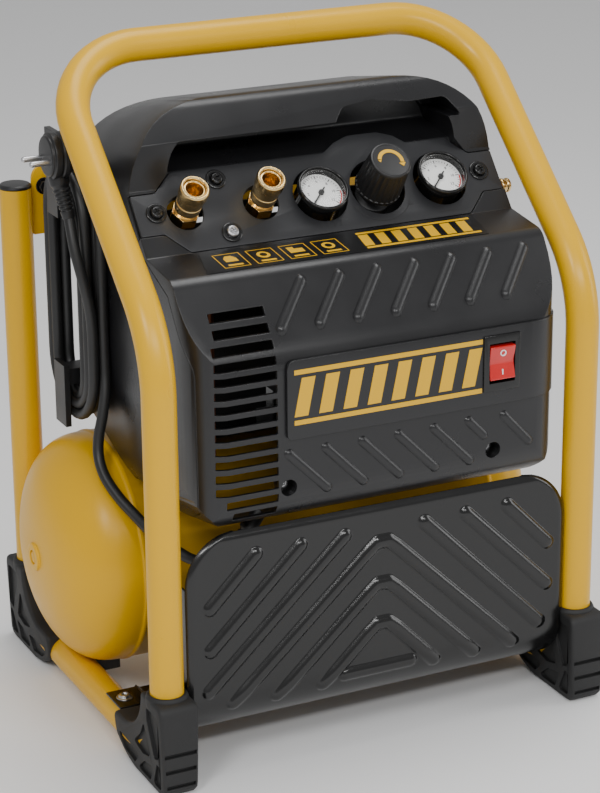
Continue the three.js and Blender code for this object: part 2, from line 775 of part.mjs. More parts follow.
for (const side of ['left', 'right']) {
  const x = side === 'left' ? fittingX.couplerLeft : fittingX.couplerRight;
  const hexagon = solid(moved(disc(12, -8, 2, 6), 0, 0, 0));
  const barrel = solid(turned([
    [0, manifoldTop + gap], [6.5, manifoldTop + gap], [6.5, -7], [9, -7], [9, 31],
    [6.2, 31], [6.2, 8], [3.4, 6], [3.4, -20], [0, -20],
  ], 24));
  const body = joined(hexagon, barrel).subtract(solid(disc(3.4, -20, 6.5, 24))).translate([x, 0, 0]);
  fitting(`coupler_body_${side}`, body, brass);
  const sleeve = moved(ring([
    [9.3, 6], [10.6, 6], [10.8, 22], [couplerR, 24.5], [couplerR, 32], [couplerR - 1.2, 33.5],
    [10, 33.5], [9.3, 32],
  ], 24), x, 0, 0);
  fitting(`coupler_sleeve_${side}`, sleeve, brass);
}

// Gauges: a cup with a dial floor, a needle on its spindle, and a lens in the bezel.
const gaugeFloor = 1.5;
for (const [which, x, start] of [['tank', fittingX.tankGauge, 225], ['line', fittingX.lineGauge, 225]]) {
  const lip = 10;
  fitting(`${which}_gauge_case`, moved(turned([
    [0, manifoldTop + gap], [5, manifoldTop + gap], [5, -19], [gaugeR - 1.5, -19], [gaugeR - 1.5, 5],
    [gaugeR, 5.6], [gaugeR, lip - 1], [gaugeR - 1, lip], [gaugeR - 2.8, lip], [gaugeR - 2.8, gaugeFloor],
    [0, gaugeFloor],
  ], 32), x, 0, 0), blackPlastic);
  const needle = joined(
    solid(disc(2.4, gaugeFloor + gap, gaugeFloor + 2.4, 14)),
    box(-0.6, 0.6, -6, 14.5, gaugeFloor + 1.4, gaugeFloor + 2.2),
  );
  fitting(`${which}_gauge_needle`, needle.rotate([0, 0, start - 90]).translate([x, 0, 0]), blackPlastic);
}

// Regulator and its ribbed knob.
fitting('regulator_body', moved(turned([
  [0, manifoldTop + gap], [16, manifoldTop + gap], [16, -12], [9, -10], [9, -4], [5, -4], [5, 12], [0, 12],
], 24), fittingX.regulator, 0, 0), castAluminium);
const knobSection = new THREE.Shape();
const knobRibs = 24;
for (let i = 0; i < knobRibs * 2; i += 1) {
  const angle = (i / (knobRibs * 2)) * 2 * Math.PI;
  const radius = i % 2 ? knobR - 1.4 : knobR;
  if (i === 0) knobSection.moveTo(radius, 0);
  else knobSection.lineTo(radius * Math.cos(angle), radius * Math.sin(angle));
}
knobSection.closePath();
const knob = joined(
  solid(moved(extruded(knobSection, knobHeight - 6), 0, 0, -1)),
  solid(turned([[0, 20], [17, 20], [17.5, knobHeight - 2], [16.5, knobHeight], [0, knobHeight]], 32)),
).subtract(solid(disc(5 + gap, -4, 12 + gap, 16)));
fitting('regulator_knob', knob.translate([fittingX.regulator, 0, 0]), blackPlastic);

// Safety valve out of the right-hand wall, on its own stem from the manifold.
const valveFrame = new THREE.Group();
valveFrame.position.set(0, safetyY, safetyZ);
valveFrame.rotation.y = 90 * deg;
compressor.add(valveFrame);
const stemTop = vector(manifoldTo - 10, 0, manifoldTop + 8 + gap).applyMatrix4(fittingFrame.matrixWorld);
const valveBase = manifoldTo - 17;
const valveStem = swept([
  { point: stemTop, tangent: vector(0, -Math.cos(fittingRise), Math.sin(fittingRise)) },
  { point: vector(manifoldTo - 10, safetyY, safetyZ), tangent: vector(0, safetyY - stemTop.y,
    safetyZ - stemTop.z).normalize() },
], 5, 12);
const valveBarrel = solid(moved(alongX(turned([
  [0, valveBase], [7, valveBase], [7, 157], [safetyR - 0.5, 158], [safetyR - 0.5, 170], [2.5, 170],
  [2.5, 163], [0, 163],
], 16)), 0, safetyY, safetyZ));
node('safety_valve_body', joined(valveBarrel, valveStem), brass);
const pull = moved(turned([
  [0, 164.5], [2, 164.5], [2, 171.5], [5.6, 171.5], [6.4, 173.5], [6.4, 177], [5, 180], [0, 181],
], 16), 0, 0, 0);
node('safety_valve_pull', pull, brass, valveFrame);

// ---------------------------------------------------------------- switch

const faceY = bodyFront;
const bezelHalfWidth = 17;
const bezelHalfHeight = 24;
const bezel = without(
  joined(
    box(switchX - bezelHalfWidth, switchX + bezelHalfWidth, faceY - 4, faceY - 2.5,
      switchZ - bezelHalfHeight, switchZ + bezelHalfHeight),
    box(switchX - switchHalfWidth + gap, switchX + switchHalfWidth - gap, faceY - 3, faceY + 22,
      switchZ - switchHalfHeight + gap, switchZ + switchHalfHeight - gap),
  ),
  box(switchX - 12, switchX + 12, faceY - 10, faceY + 19, switchZ - 17, switchZ + 17),
);
node('switch_housing', bezel, blackPlastic);
const rockerPivotY = faceY + 4;
const rockerShape = roundedShape([
  [faceY - 5.5, switchZ - 14, 1], [faceY + 2, switchZ - 14.5, 1], [faceY + 15, switchZ - 4, 2],
  [faceY + 15, switchZ + 4, 2], [faceY + 2, switchZ + 14.5, 1], [faceY - 5.5, switchZ + 14, 1],
  [faceY - 2.5, switchZ, 6],
], 3);
node('switch_rocker', alongWidth(rockerShape, switchX - 11.6, switchX + 11.6), redPlastic);

// Pressure switch and terminal box behind the front cover.
const terminalFrom = -60;
node('pressure_switch', box(terminalFrom, terminalFrom + 58, -158, -112, 252, 316), blackPlastic);

// ---------------------------------------------------------------- motor and pump

const shaftFrame = new THREE.Group();
shaftFrame.position.set(0, shaftY, shaftZ);
compressor.add(shaftFrame);
const onShaft = (name, geometry, material) => node(name, geometry, material, shaftFrame);
const bearingR = 15;

const bellThickness = 5;
const housing = joined(
  solid(alongX(washer(motorR - 4, motorR, motorFrom, motorTo, 32))),
  solid(alongX(washer(bearingR + gap, motorR - 1, motorFrom, motorFrom + bellThickness, 32))),
  solid(alongX(washer(bearingR + gap, bearingR + 5, motorFrom, motorFrom + 10, 24))),
  box(motorFrom + 22, motorTo - 22, -44, 44, -66, -40)
    .subtract(solid(alongX(disc(motorR - 2, motorFrom, motorTo, 32)))),
);
onShaft('motor_housing', housing, castAluminium);
onShaft('bearing_rear', alongX(washer(shaftR + 0.2, bearingR, motorFrom + 0.5, motorFrom + 9.5, 24)), steel);
onShaft('bearing_front', alongX(washer(shaftR + 0.2, bearingR, motorTo + 1, motorTo + 10, 24)), steel);

const crankEnd = crankX - 10;
const rotor = joined(
  solid(alongX(disc(shaftR, motorFrom - 24, crankEnd - 10, 20))),
  solid(alongX(disc(28, motorFrom + 18, motorTo - 18, 28))),
  solid(alongX(disc(22, crankEnd - 12, crankEnd - 4, 24))),
  solid(moved(alongX(disc(6, crankEnd - 5, crankEnd, 16)), 0, 0, throwR)),
);
onShaft('rotor_shaft', rotor, steel);

const fanR = 52;
const blades = [];
for (let i = 0; i < 7; i += 1) {
  const blade = box(-144, -136, -4, 4, 16, fanR).rotate([(i * 360) / 7, 0, 0]);
  blades.push(blade);
}
const fanHub = solid(alongX(washer(shaftR + 0.2, 20, -146, -134, 24)));
onShaft('cooling_fan', joined(fanHub, ...blades), blackPlastic);

// Crankcase: its flange closes the motor's front end and carries the front bearing.
const caseFrom = motorTo + gap;
const caseTo = crankX + 26;
const deckHeight = cylinderFrom - shaftZ - gap;
const crankcase = without(
  joined(
    solid(alongX(disc(motorR - 2, caseFrom, caseFrom + bellThickness, 32))),
    solid(alongX(disc(38, caseFrom, caseTo, 32))),
    box(caseFrom, caseTo, -30, 30, -66, 0),
    box(crankX - 26, caseTo, -32, 32, 0, deckHeight),
  ),
  box(caseFrom + 8, caseTo + 1, -40, 40, deckHeight, deckHeight + 20),
  solid(alongX(disc(bearingR + gap, caseFrom - 1, caseFrom + 12, 24))),
  solid(alongX(disc(33, caseFrom + 10, caseTo + 2, 32))),
  solid(moved(disc(pistonR + 1, 0, 60, 32), crankX, 0, 0)),
);
onShaft('crankcase', crankcase, castAluminium);

const pumpFrame = new THREE.Group();
pumpFrame.position.set(crankX, shaftY, 0);
compressor.add(pumpFrame);
const onPump = (name, geometry, material) => node(name, geometry, material, pumpFrame);
const cylinderR = pistonR + 0.5 + cylinderWall;
const cylinderFins = [];
for (let i = 0; i < 4; i += 1) {
  cylinderFins.push(solid(washer(cylinderR - 1, cylinderR + 5.5, cylinderFrom + 6 + i * 9,
    cylinderFrom + 9 + i * 9, 20)));
}
onPump('cylinder', joined(solid(washer(pistonR + 0.5, cylinderR, cylinderFrom, cylinderTo, 24)),
  ...cylinderFins), castAluminium);
const headFrom = cylinderTo + gap;
const headFins = [];
for (let i = 0; i < 6; i += 1) {
  headFins.push(box(-33, 33, -31 + i * 11.2, -28 + i * 11.2, headFrom + 8, headFrom + 20));
}
onPump('cylinder_head', joined(box(-33, 33, -33, 33, headFrom, headFrom + 10), ...headFins), castAluminium);
onPump('piston', joined(
  solid(disc(pistonR, cylinderTo - gap - 12, cylinderTo - gap, 24)),
  box(-5, 5, -9, 9, shaftZ + throwR + 4, cylinderTo - 12),
  solid(moved(alongX(disc(13, -5, 5, 24)), 0, 0, shaftZ + throwR)),
), castAluminium);

// Pump carrier plate on two bridges welded across the tank, with rubber mounts on it.
const carrierLow = tankZ + tankR + 6;
const carrierTop = carrierLow + 3;
const bridges = [-95, 52].map((x) => (
  box(x - 12, x + 12, tankY - 46, tankY + 40, tankZ + tankR - 22, carrierLow + 1).subtract(tankSpace)));
const carrier = box(motorFrom + 10, caseTo + 6, shaftY - 52, shaftY + 52, carrierLow, carrierTop);
node('pump_carrier', joined(carrier, ...bridges), blackPaint);
const footLevel = shaftZ - 66 - gap;
const mounts = { motor: [motorFrom + 30, motorTo - 30, 40], pump: [5, caseTo - 6, 26] };
for (const [which, [from, to, half]] of Object.entries(mounts)) {
  node(`rubber_mount_${which}`, box(from, to, shaftY - half, shaftY + half, carrierTop + gap, footLevel),
    greyRubber);
}

// Check valve on the tank and the delivery tube from the head.
const checkX = 120;
const tankTop = tankZ + tankR + gap;
node('check_valve', moved(turned([
  [0, tankTop], [11, tankTop], [11, tankTop + 10], [8, tankTop + 11], [8, tankTop + 24], [0, tankTop + 24],
], 6), checkX, tankY, 0), brass);
const headPort = headFrom + 5;
node('delivery_tube', swept(bentStations([
  vector(crankX + 33 + gap, shaftY, headPort),
  vector(checkX, shaftY, headPort),
  vector(checkX, tankY, headPort - 60),
  vector(checkX, tankY, tankTop + 24 + gap),
], [18, 18], 4), 5, 12), copper);

// Supply tube from the tank's front shoulder up to the manifold.
const supplyX = -100;
const shoulder = Math.SQRT1_2;
const supplyReach = (tankR + gap + 0.6) * shoulder;
const supplyFoot = vector(supplyX, tankY - supplyReach, tankZ + supplyReach);
const supplyClear = 15.7;          // from the motor's front to the middle of the tube
const supplyRise = supplyFoot.y - (shaftY - motorR - supplyClear);
const supplyTurn = supplyFoot.clone().add(vector(0, -supplyRise, supplyRise));
const manifoldFace = vector(supplyX, -manifoldSize / 2 - gap, manifoldTop - manifoldSize / 2)
  .applyMatrix4(fittingFrame.matrixWorld);
const faceAway = vector(0, -Math.sin(fittingRise), -Math.cos(fittingRise));
const supplyTop = manifoldFace.clone()
  .addScaledVector(faceAway, (supplyTurn.y - manifoldFace.y) / faceAway.y);
node('supply_tube', swept(bentStations([supplyFoot, supplyTurn, supplyTop, manifoldFace], [16, 10], 4), 4, 12),
  copper);

// ---------------------------------------------------------------- cord

const glandLength = 34;
const gland = joined(
  aimed(disc(sealHoleR, -7, 10, 16), glandAt, glandAim),
  aimed(turned([[0, 9], [7.8, 9], [7.8, 12], [6.4, 13], [cordR + 0.9, glandLength], [0, glandLength]], 16),
    glandAt, glandAim),
);
node('cord_gland', gland, blackPlastic);

// Where the cord isn't coiled, its points are chosen by hand.
const glandEnd = glandAt.clone().addScaledVector(glandAim, glandLength + gap);
const cordRoute = [
  glandEnd.toArray(),
  glandEnd.clone().addScaledVector(glandAim, 8).toArray(),
  [-137, -124, 172],
  [-149, -110, 173.5],
  [-158, -95, 179],
  [-167, -74, 186],
  [-174, -53, 196],
  [-181, -36, 207],
  [-186, -18, 219],
  [-189, 0, 228],
  [-189, 20, 235],
  [-186, 40, 241.5],
];

node('cord_tube', swept(splineStations(cordRoute, 12), cordR, 10), cordRubber);

const hankOutline = new THREE.Shape();
function stadium(path, radius) {
  const steps = 10;
  for (let k = 0; k <= steps; k += 1) {
    const angle = Math.PI + (k / steps) * Math.PI;
    const place = [hankY + radius * Math.cos(angle), hankLow + radius * Math.sin(angle)];
    if (k === 0) path.moveTo(...place);
    else path.lineTo(...place);
  }
  for (let k = 0; k <= steps; k += 1) {
    const angle = (k / steps) * Math.PI;
    path.lineTo(hankY + radius * Math.cos(angle), hankHigh + radius * Math.sin(angle));
  }
  path.closePath();
}
stadium(hankOutline, hankOuterR);
const hankHole = new THREE.Path();
stadium(hankHole, hankInnerR);
hankOutline.holes.push(hankHole);
node('cord_hank', alongWidth(hankOutline, hankX - hankHalfThickness, hankX + hankHalfThickness), cordRubber);


// Two hooks on the left wall hold the hank: an arm through each round end, with a lip outside.
const lipFrom = -(bodyHalfWidth + 2 * gap + 2 * hankHalfThickness + gap);
const lipTo = lipFrom - 5;
const hookY = [54, 74];
function hook(armLow, armHigh, lipLow, lipHigh) {
  return joined(
    box(lipTo, -(bodyHalfWidth + gap), hookY[0], hookY[1], armLow, armHigh),
    box(lipTo, lipFrom, hookY[0] - 2, hookY[1] + 2, lipLow, lipHigh),
  );
}
const armSize = 14;
const armOffset = 7;
node('cord_hook_upper', hook(hankHigh + armOffset, hankHigh + armOffset + armSize,
  hankHigh + armOffset - 4, hankHigh + hankOuterR + 20), blackPlastic);
node('cord_hook_lower', hook(hankLow - armOffset - armSize, hankLow - armOffset,
  hankLow - hankOuterR - 2, hankLow - armOffset + 4), blackPlastic);

// A round right-angled plug, its boot down beside the hank's front strands.
const plugAt = vector(lipTo - 6, 32, 486);
const plugBodyR = 19.5;
const bootStart = vector(plugAt.x - 1, plugAt.y, plugAt.z - 12);
const bootEnd = vector(lipFrom - 5.4, 24, plugAt.z - 52);
const bootAim = bootEnd.clone().sub(bootStart);
const plugPins = [[-3, 9.5], [-3, -9.5]].map(([z, y]) => (
  solid(moved(alongX(disc(2.4, -19, 0, 12)), plugAt.x - 8, plugAt.y + y, plugAt.z + z))));
node('plug_body', joined(
  solid(moved(alongX(turned([
    [0, -10], [plugBodyR - 2.5, -10], [plugBodyR, -7], [plugBodyR, 5], [plugBodyR - 5, 10], [0, 10],
  ], 28)), plugAt.x, plugAt.y, plugAt.z)),
  aimed(turned([[0, 0], [8.5, 0], [8.2, 12], [5.3, bootAim.length()], [0, bootAim.length()]], 16), bootStart,
    bootAim.clone().normalize()),
  ...plugPins,
), blackPlastic);

export default compressor;
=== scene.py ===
import json
import math

import bmesh
import bpy
from mathutils import Matrix, Vector


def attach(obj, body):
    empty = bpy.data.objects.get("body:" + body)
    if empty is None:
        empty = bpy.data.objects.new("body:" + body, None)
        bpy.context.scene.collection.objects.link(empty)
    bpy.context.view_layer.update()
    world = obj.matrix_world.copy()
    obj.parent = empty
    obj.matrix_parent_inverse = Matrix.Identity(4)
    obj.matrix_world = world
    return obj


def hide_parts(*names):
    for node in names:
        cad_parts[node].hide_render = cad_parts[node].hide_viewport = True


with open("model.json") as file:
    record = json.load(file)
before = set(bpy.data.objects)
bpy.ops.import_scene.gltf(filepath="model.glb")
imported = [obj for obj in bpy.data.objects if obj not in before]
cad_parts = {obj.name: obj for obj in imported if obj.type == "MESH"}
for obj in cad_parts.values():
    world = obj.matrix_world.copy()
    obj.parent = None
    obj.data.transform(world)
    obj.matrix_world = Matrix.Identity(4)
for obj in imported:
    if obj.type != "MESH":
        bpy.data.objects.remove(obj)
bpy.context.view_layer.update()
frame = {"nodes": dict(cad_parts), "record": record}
MM = 0.001
nodes = frame["nodes"]
scene = bpy.context.scene

# ---- camera

camera_data = bpy.data.cameras.new("camera")
camera_data.lens = 113.87
camera_data.sensor_width = 36
camera = bpy.data.objects.new("camera", camera_data)
scene.collection.objects.link(camera)
camera.matrix_world = (
    Matrix.Translation((-0.8897, -1.8473, 0.9828))
    @ Matrix.Rotation(math.radians(-25.84), 4, "Z")
    @ Matrix.Rotation(math.radians(90 - 19.54), 4, "X")
    @ Matrix.Rotation(math.radians(-0.47), 4, "Z")
)
scene.camera = camera

# ---- the cord

CORD_R = 4.65
HANK_Y, HANK_LOW, HANK_HIGH = 60, 300, 424
LAYER_IN, LAYER_OUT = -172.1, -181.7


def smooth_path(points, per_span):
    """A uniform Catmull-Rom curve through the points."""
    pts = [Vector(p) for p in points]
    pts = [pts[0] * 2 - pts[1]] + pts + [pts[-1] * 2 - pts[-2]]
    out = []
    for i in range(1, len(pts) - 2):
        p0, p1, p2, p3 = pts[i - 1 : i + 3]
        for k in range(per_span):
            t = k / per_span
            linear = (p2 - p0) * t
            square = (2 * p0 - 5 * p1 + 4 * p2 - p3) * t * t
            cubic = (3 * p1 - p0 - 3 * p2 + p3) * t**3
            out.append(0.5 * (2 * p1 + linear + square + cubic))
    out.append(pts[-2])
    return out


gland_at = Vector((-100, -132, 209.2))
gland_aim = Vector((-0.6, 0, -0.8))
GLAND_REACH = 34.3
cord_exit = gland_at + gland_aim * GLAND_REACH

lead_in = smooth_path(
    [
        cord_exit,
        cord_exit + gland_aim * 8,
        (-137, -124, 172),
        (-149, -110, 173.5),
        (-158, -95, 179),
        (-167, -74, 186),
        (-174, -53, 196),
        (-181, -36, 207),
        (-186, -20, 220),
        (-186.5, -8, 234),
        (-184, -3, 250),
        (-180, -2, 266),
        (-175.5, 1, 284),
        (-172.6, 6.2, 302),
        (LAYER_IN, 8.4, 320),
    ],
    6,
)

# Each turn goes up the front, over the top, down the back and under. Its radius is
# given at the start and the end of the bottom fold.
hank = []


def fold(centre_z, start, radius_from, radius_to, x_from, x_to, steps=16):
    """Half a turn from a start angle, which eases to another radius and layer."""
    for k in range(steps + 1):
        t = k / steps
        angle = start - math.pi * t
        ease = t * t * (3 - 2 * t)
        radius = radius_from + (radius_to - radius_from) * ease
        x = x_from + (x_to - x_from) * ease
        y = HANK_Y + radius * math.cos(angle)
        hank.append(Vector((x, y, centre_z + radius * math.sin(angle))))


R3, R2, R1 = 51.2, 41.6, 32.0
for top, bottom, x_top, x_bottom in (
    (R3, R2, LAYER_IN, LAYER_IN),
    (R2, R1, LAYER_IN, LAYER_IN),
    (R1, R1, LAYER_IN, LAYER_OUT),
    (R1, R2, LAYER_OUT, LAYER_OUT),
    (R2, R3, LAYER_OUT, LAYER_OUT),
):
    fold(HANK_HIGH, math.pi, top, top, x_top, x_top)
    fold(HANK_LOW, 0, top, bottom, x_top, x_bottom)

boot_end = Vector((-192.6, 24, 434))
tail = smooth_path(
    [
        (LAYER_OUT, 8.8, 312),
        (LAYER_OUT, 8.8, 338),
        (-184, 8.2, 362),
        (-189.4, 8.6, 388),
        (-192.6, 14, 410),
        boot_end,
    ],
    5,
)
cord_points = lead_in + hank + tail


def straight_filled(points, longest=22):
    """Adds points along straight stretches longer than this."""
    out = [points[0]]
    for p in points[1:]:
        a = out[-1]
        n = max(1, int((p - a).length // longest))
        out.extend(a.lerp(p, (k + 1) / n) for k in range(n))
    return out


cord_points = straight_filled(cord_points)
cord_length = sum((b - a).length for a, b in zip(cord_points, cord_points[1:]))


def curve_tube(name, points, radius, resolution=6, caps=True):
    data = bpy.data.curves.new(name, "CURVE")
    data.dimensions = "3D"
    data.bevel_depth = radius * MM
    data.bevel_resolution = resolution
    data.use_fill_caps = caps
    spline = data.splines.new("POLY")
    spline.points.add(len(points) - 1)
    for p, q in zip(spline.points, points):
        p.co = (q[0] * MM, q[1] * MM, q[2] * MM, 1)
    spline.use_smooth = True
    obj = bpy.data.objects.new(name, data)
    scene.collection.objects.link(obj)
    return obj


# ---- materials


def material(
    name, color, rough=0.5, metal=0.0, grain=0.0, grain_scale=1400.0, tone=0.05, tone_scale=18.0,
    rough_vary=0.05, coat=0.0, edge=0.6, stretch=(1, 1, 1), specular=0.5,
):
    """A procedural finish: broad noise varies the tone and roughness, fine noise the surface."""
    mat = bpy.data.materials.new(name)
    mat.use_nodes = True
    tree = mat.node_tree
    link = tree.links.new
    shader = tree.nodes["Principled BSDF"]
    place = tree.nodes.new("ShaderNodeTexCoord")
    mapping = tree.nodes.new("ShaderNodeMapping")
    mapping.inputs["Scale"].default_value = stretch
    link(place.outputs["Object"], mapping.inputs["Vector"])
    broad = tree.nodes.new("ShaderNodeTexNoise")
    broad.inputs["Scale"].default_value = tone_scale
    broad.inputs["Detail"].default_value = 5
    link(mapping.outputs["Vector"], broad.inputs["Vector"])
    mix = tree.nodes.new("ShaderNodeMix")
    mix.data_type = "RGBA"
    mix.inputs["A"].default_value = (*[c * (1 - tone) for c in color], 1)
    mix.inputs["B"].default_value = (*[min(1, c * (1 + tone)) for c in color], 1)
    link(broad.outputs["Fac"], mix.inputs["Factor"])
    link(mix.outputs["Result"], shader.inputs["Base Color"])
    span = tree.nodes.new("ShaderNodeMapRange")
    span.inputs["From Min"].default_value = 0.3
    span.inputs["From Max"].default_value = 0.7
    span.inputs["To Min"].default_value = max(0.02, rough - rough_vary)
    span.inputs["To Max"].default_value = rough + rough_vary
    link(broad.outputs["Fac"], span.inputs["Value"])
    link(span.outputs["Result"], shader.inputs["Roughness"])
    fine = tree.nodes.new("ShaderNodeTexNoise")
    fine.inputs["Scale"].default_value = grain_scale
    fine.inputs["Detail"].default_value = 2
    link(mapping.outputs["Vector"], fine.inputs["Vector"])
    bump = tree.nodes.new("ShaderNodeBump")
    bump.inputs["Strength"].default_value = grain
    bump.inputs["Distance"].default_value = 0.0004
    link(fine.outputs["Fac"], bump.inputs["Height"])
    if edge:
        bevel = tree.nodes.new("ShaderNodeBevel")
        bevel.samples = 4
        bevel.inputs["Radius"].default_value = edge * MM
        link(bevel.outputs["Normal"], bump.inputs["Normal"])
    link(bump.outputs["Normal"], shader.inputs["Normal"])
    shader.inputs["Metallic"].default_value = metal
    shader.inputs["Coat Weight"].default_value = coat
    shader.inputs["Coat Roughness"].default_value = 0.08
    shader.inputs["Specular IOR Level"].default_value = specular
    return mat


yellow = material(
    "yellow_enamel", (0.70, 0.385, 0.0), 0.32, grain=0.06, grain_scale=500, tone=0.03, specular=0.35
)
tank_yellow = material(
    "tank_enamel", (0.70, 0.38, 0.0), 0.34, grain=0.09, grain_scale=420, tone=0.03, specular=0.3
)
black_paint = material(
    "black_powder_coat", (0.005, 0.005, 0.0051), 0.19, grain=0.12, grain_scale=1500, coat=0.1
)
cover_plastic = material(
    "cover_plastic", (0.0095, 0.0095, 0.0105), 0.3, grain=0.16, grain_scale=2200, edge=1.2
)
panel_plastic = material(
    "panel_plastic", (0.017, 0.0175, 0.0195), 0.36, grain=0.2, grain_scale=2200, edge=0.6
)
black_plastic = material("black_plastic", (0.009, 0.009, 0.0095), 0.4, grain=0.1)
gloss_black = material("gloss_black", (0.006, 0.006, 0.006), 0.16, grain=0.02, rough_vary=0.03)
rubber = material(
    "foot_rubber", (0.011, 0.011, 0.0112), 0.62, grain=0.35, grain_scale=1200, edge=1.0
)
cord_rubber = material(
    "cord_rubber", (0.012, 0.012, 0.012), 0.45, grain=0.12, grain_scale=900, edge=0
)
brass = material(
    "brass", (0.76, 0.55, 0.25), 0.24, metal=1.0, grain=0.03, tone=0.1, edge=0.3
)
steel = material(
    "steel", (0.5, 0.5, 0.51), 0.3, metal=1.0, grain=0.1, stretch=(1, 1, 12), edge=0.3
)
cast = material(
    "cast_aluminium", (0.5, 0.5, 0.51), 0.5, metal=1.0, grain=0.5, grain_scale=700
)
copper = material("copper", (0.2, 0.075, 0.04), 0.45, metal=1.0, tone=0.12)
white_dial = material("dial_white", (0.83, 0.83, 0.81), 0.5, tone=0.02, edge=0)
dial_black = material("dial_black", (0.01, 0.01, 0.01), 0.4, edge=0)
dial_red = material("dial_red", (0.6, 0.02, 0.01), 0.4, edge=0)
red_switch = material(
    "switch_red", (0.55, 0.012, 0.01), 0.18, tone=0.12, tone_scale=120, coat=0.6, edge=0.6
)
mark_white = material("mark_white", (0.8, 0.8, 0.8), 0.4, edge=0)
label_yellow = material("label_yellow", (0.70, 0.39, 0.0), 0.35, tone=0.03, edge=0)
label_black = material("label_black", (0.006, 0.006, 0.006), 0.3, grain=0.03, edge=0)
print_grey = material("print_grey", (0.012, 0.012, 0.013), 0.5, edge=0)


def glass_material():
    mat = material("lens", (1, 1, 1), 0.02, tone=0.0, rough_vary=0.01, edge=0)
    tree = mat.node_tree
    clear = tree.nodes.new("ShaderNodeBsdfTransparent")
    shine = tree.nodes.new("ShaderNodeBsdfGlossy")
    shine.inputs["Roughness"].default_value = 0.03
    facing = tree.nodes.new("ShaderNodeLayerWeight")
    facing.inputs["Blend"].default_value = 0.12
    mix = tree.nodes.new("ShaderNodeMixShader")
    tree.links.new(facing.outputs["Fresnel"], mix.inputs["Fac"])
    tree.links.new(clear.outputs["BSDF"], mix.inputs[1])
    tree.links.new(shine.outputs["BSDF"], mix.inputs[2])
    tree.links.new(mix.outputs["Shader"], tree.nodes["Material Output"].inputs["Surface"])
    return mat


lens_glass = glass_material()

slot_materials = {
    "yellow_paint": yellow,
    "black_paint": black_paint,
    "cover_plastic": cover_plastic,
    "panel_plastic": panel_plastic,
    "black_plastic": black_plastic,
    "grey_rubber": rubber,
    "cord_rubber": cord_rubber,
    "brass": brass,
    "cast_aluminium": cast,
    "steel": steel,
    "copper": copper,
    "red_plastic": red_switch,
}
for part in frame["record"]["subparts"]:
    node = nodes[part["node"]]
    node.data.materials.clear()
    node.data.materials.append(slot_materials[part["material_slot"]])
    for polygon in node.data.polygons:
        polygon.use_smooth = True
    node.data.set_sharp_from_angle(angle=math.radians(32))

# The parts inside the covers get a near-black cast finish. The darkness is painted shade, so that the vents
# and holes look dark inside.
inner_cast_painted_shade = material("dark_cast_painted_shade", (0.03, 0.03, 0.03), 0.6, metal=0.6, grain=0.5, grain_scale=700)
for hidden in ("air_manifold", "motor_housing", "crankcase", "regulator_body"):
    nodes[hidden].data.materials.clear()
    nodes[hidden].data.materials.append(inner_cast_painted_shade)

# ---- mesh helpers


def mesh_object(name, verts, faces):
    data = bpy.data.meshes.new(name)
    data.from_pydata([[c * MM for c in v] for v in verts], [], faces)
    obj = bpy.data.objects.new(name, data)
    scene.collection.objects.link(obj)
    return obj


def recalculated(obj):
    work = bmesh.new()
    work.from_mesh(obj.data)
    bmesh.ops.remove_doubles(work, verts=work.verts, dist=1e-6)
    bmesh.ops.recalc_face_normals(work, faces=work.faces)
    work.to_mesh(obj.data)
    work.free()
    return obj


def baked(obj):
    """Applies the object's modifiers."""
    depsgraph = bpy.context.evaluated_depsgraph_get()
    data = bpy.data.meshes.new_from_object(obj.evaluated_get(depsgraph))
    obj.modifiers.clear()
    obj.data = data
    return obj


def bevelled(obj, width, segments=3, angle=30):
    mod = obj.modifiers.new("bevel", "BEVEL")
    mod.width = width * MM
    mod.segments = segments
    mod.limit_method = "ANGLE"
    mod.angle_limit = math.radians(angle)
    mod.use_clamp_overlap = True
    return baked(obj)


def combined(obj, others, operation="DIFFERENCE", keep=False):
    for other in others:
        mod = obj.modifiers.new("cut", "BOOLEAN")
        mod.operation = operation
        mod.solver = "EXACT"
        mod.object = other
        baked(obj)
        if not keep:
            bpy.data.objects.remove(other)
    return obj


def shown(obj, mat, body="machine", replaces=(), slot=None, smooth=35):
    """Gives a piece its material, its body and the CAD nodes that it replaces."""
    if obj.type == "MESH":
        obj.data.materials.clear()
    obj.data.materials.append(mat)
    if obj.type == "MESH":
        for polygon in obj.data.polygons:
            polygon.use_smooth = True
            polygon.material_index = 0
        obj.data.set_sharp_from_angle(angle=math.radians(smooth))
    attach(obj, body)
    if replaces:
        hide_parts(*replaces)
    return obj


def bend(start, corner, end, steps, first=0):
    """Points along a quadratic curve from start to end."""
    shares = [k / steps for k in range(first, steps + 1)]
    return [start * (1 - t) ** 2 + corner * 2 * t * (1 - t) + end * t * t for t in shares]


def circle(radius, count, centre=(0, 0), rise=1.0):
    """A regular polygon, or an upright ellipse where rise isn't 1."""
    angles = [2 * math.pi * k / count for k in range(count)]
    return [(centre[0] + radius * math.cos(a), centre[1] + radius * rise * math.sin(a)) for a in angles]


def sides_and_ends(count):
    """Faces that close two matching outlines of this many points into a solid."""
    faces = [list(range(count)), list(range(count, 2 * count))]
    for i in range(count):
        j = (i + 1) % count
        faces.append([i, j, count + j, count + i])
    return faces


def rounded(corners, steps=8):
    """A polygon from corners (across, up, rounding radius)."""
    out = []
    count = len(corners)
    for i, corner in enumerate(corners):
        point = Vector(corner[:2])
        radius = corner[2] if len(corner) > 2 else 0
        if radius <= 0:
            out.append(point)
            continue
        before = Vector(corners[i - 1][:2]) - point
        after = Vector(corners[(i + 1) % count][:2]) - point
        half = before.angle(after) / 2
        reach = min(radius / math.tan(half), before.length * 0.49, after.length * 0.49)
        out += bend(point + before.normalized() * reach, point, point + after.normalized() * reach, steps)
    return out


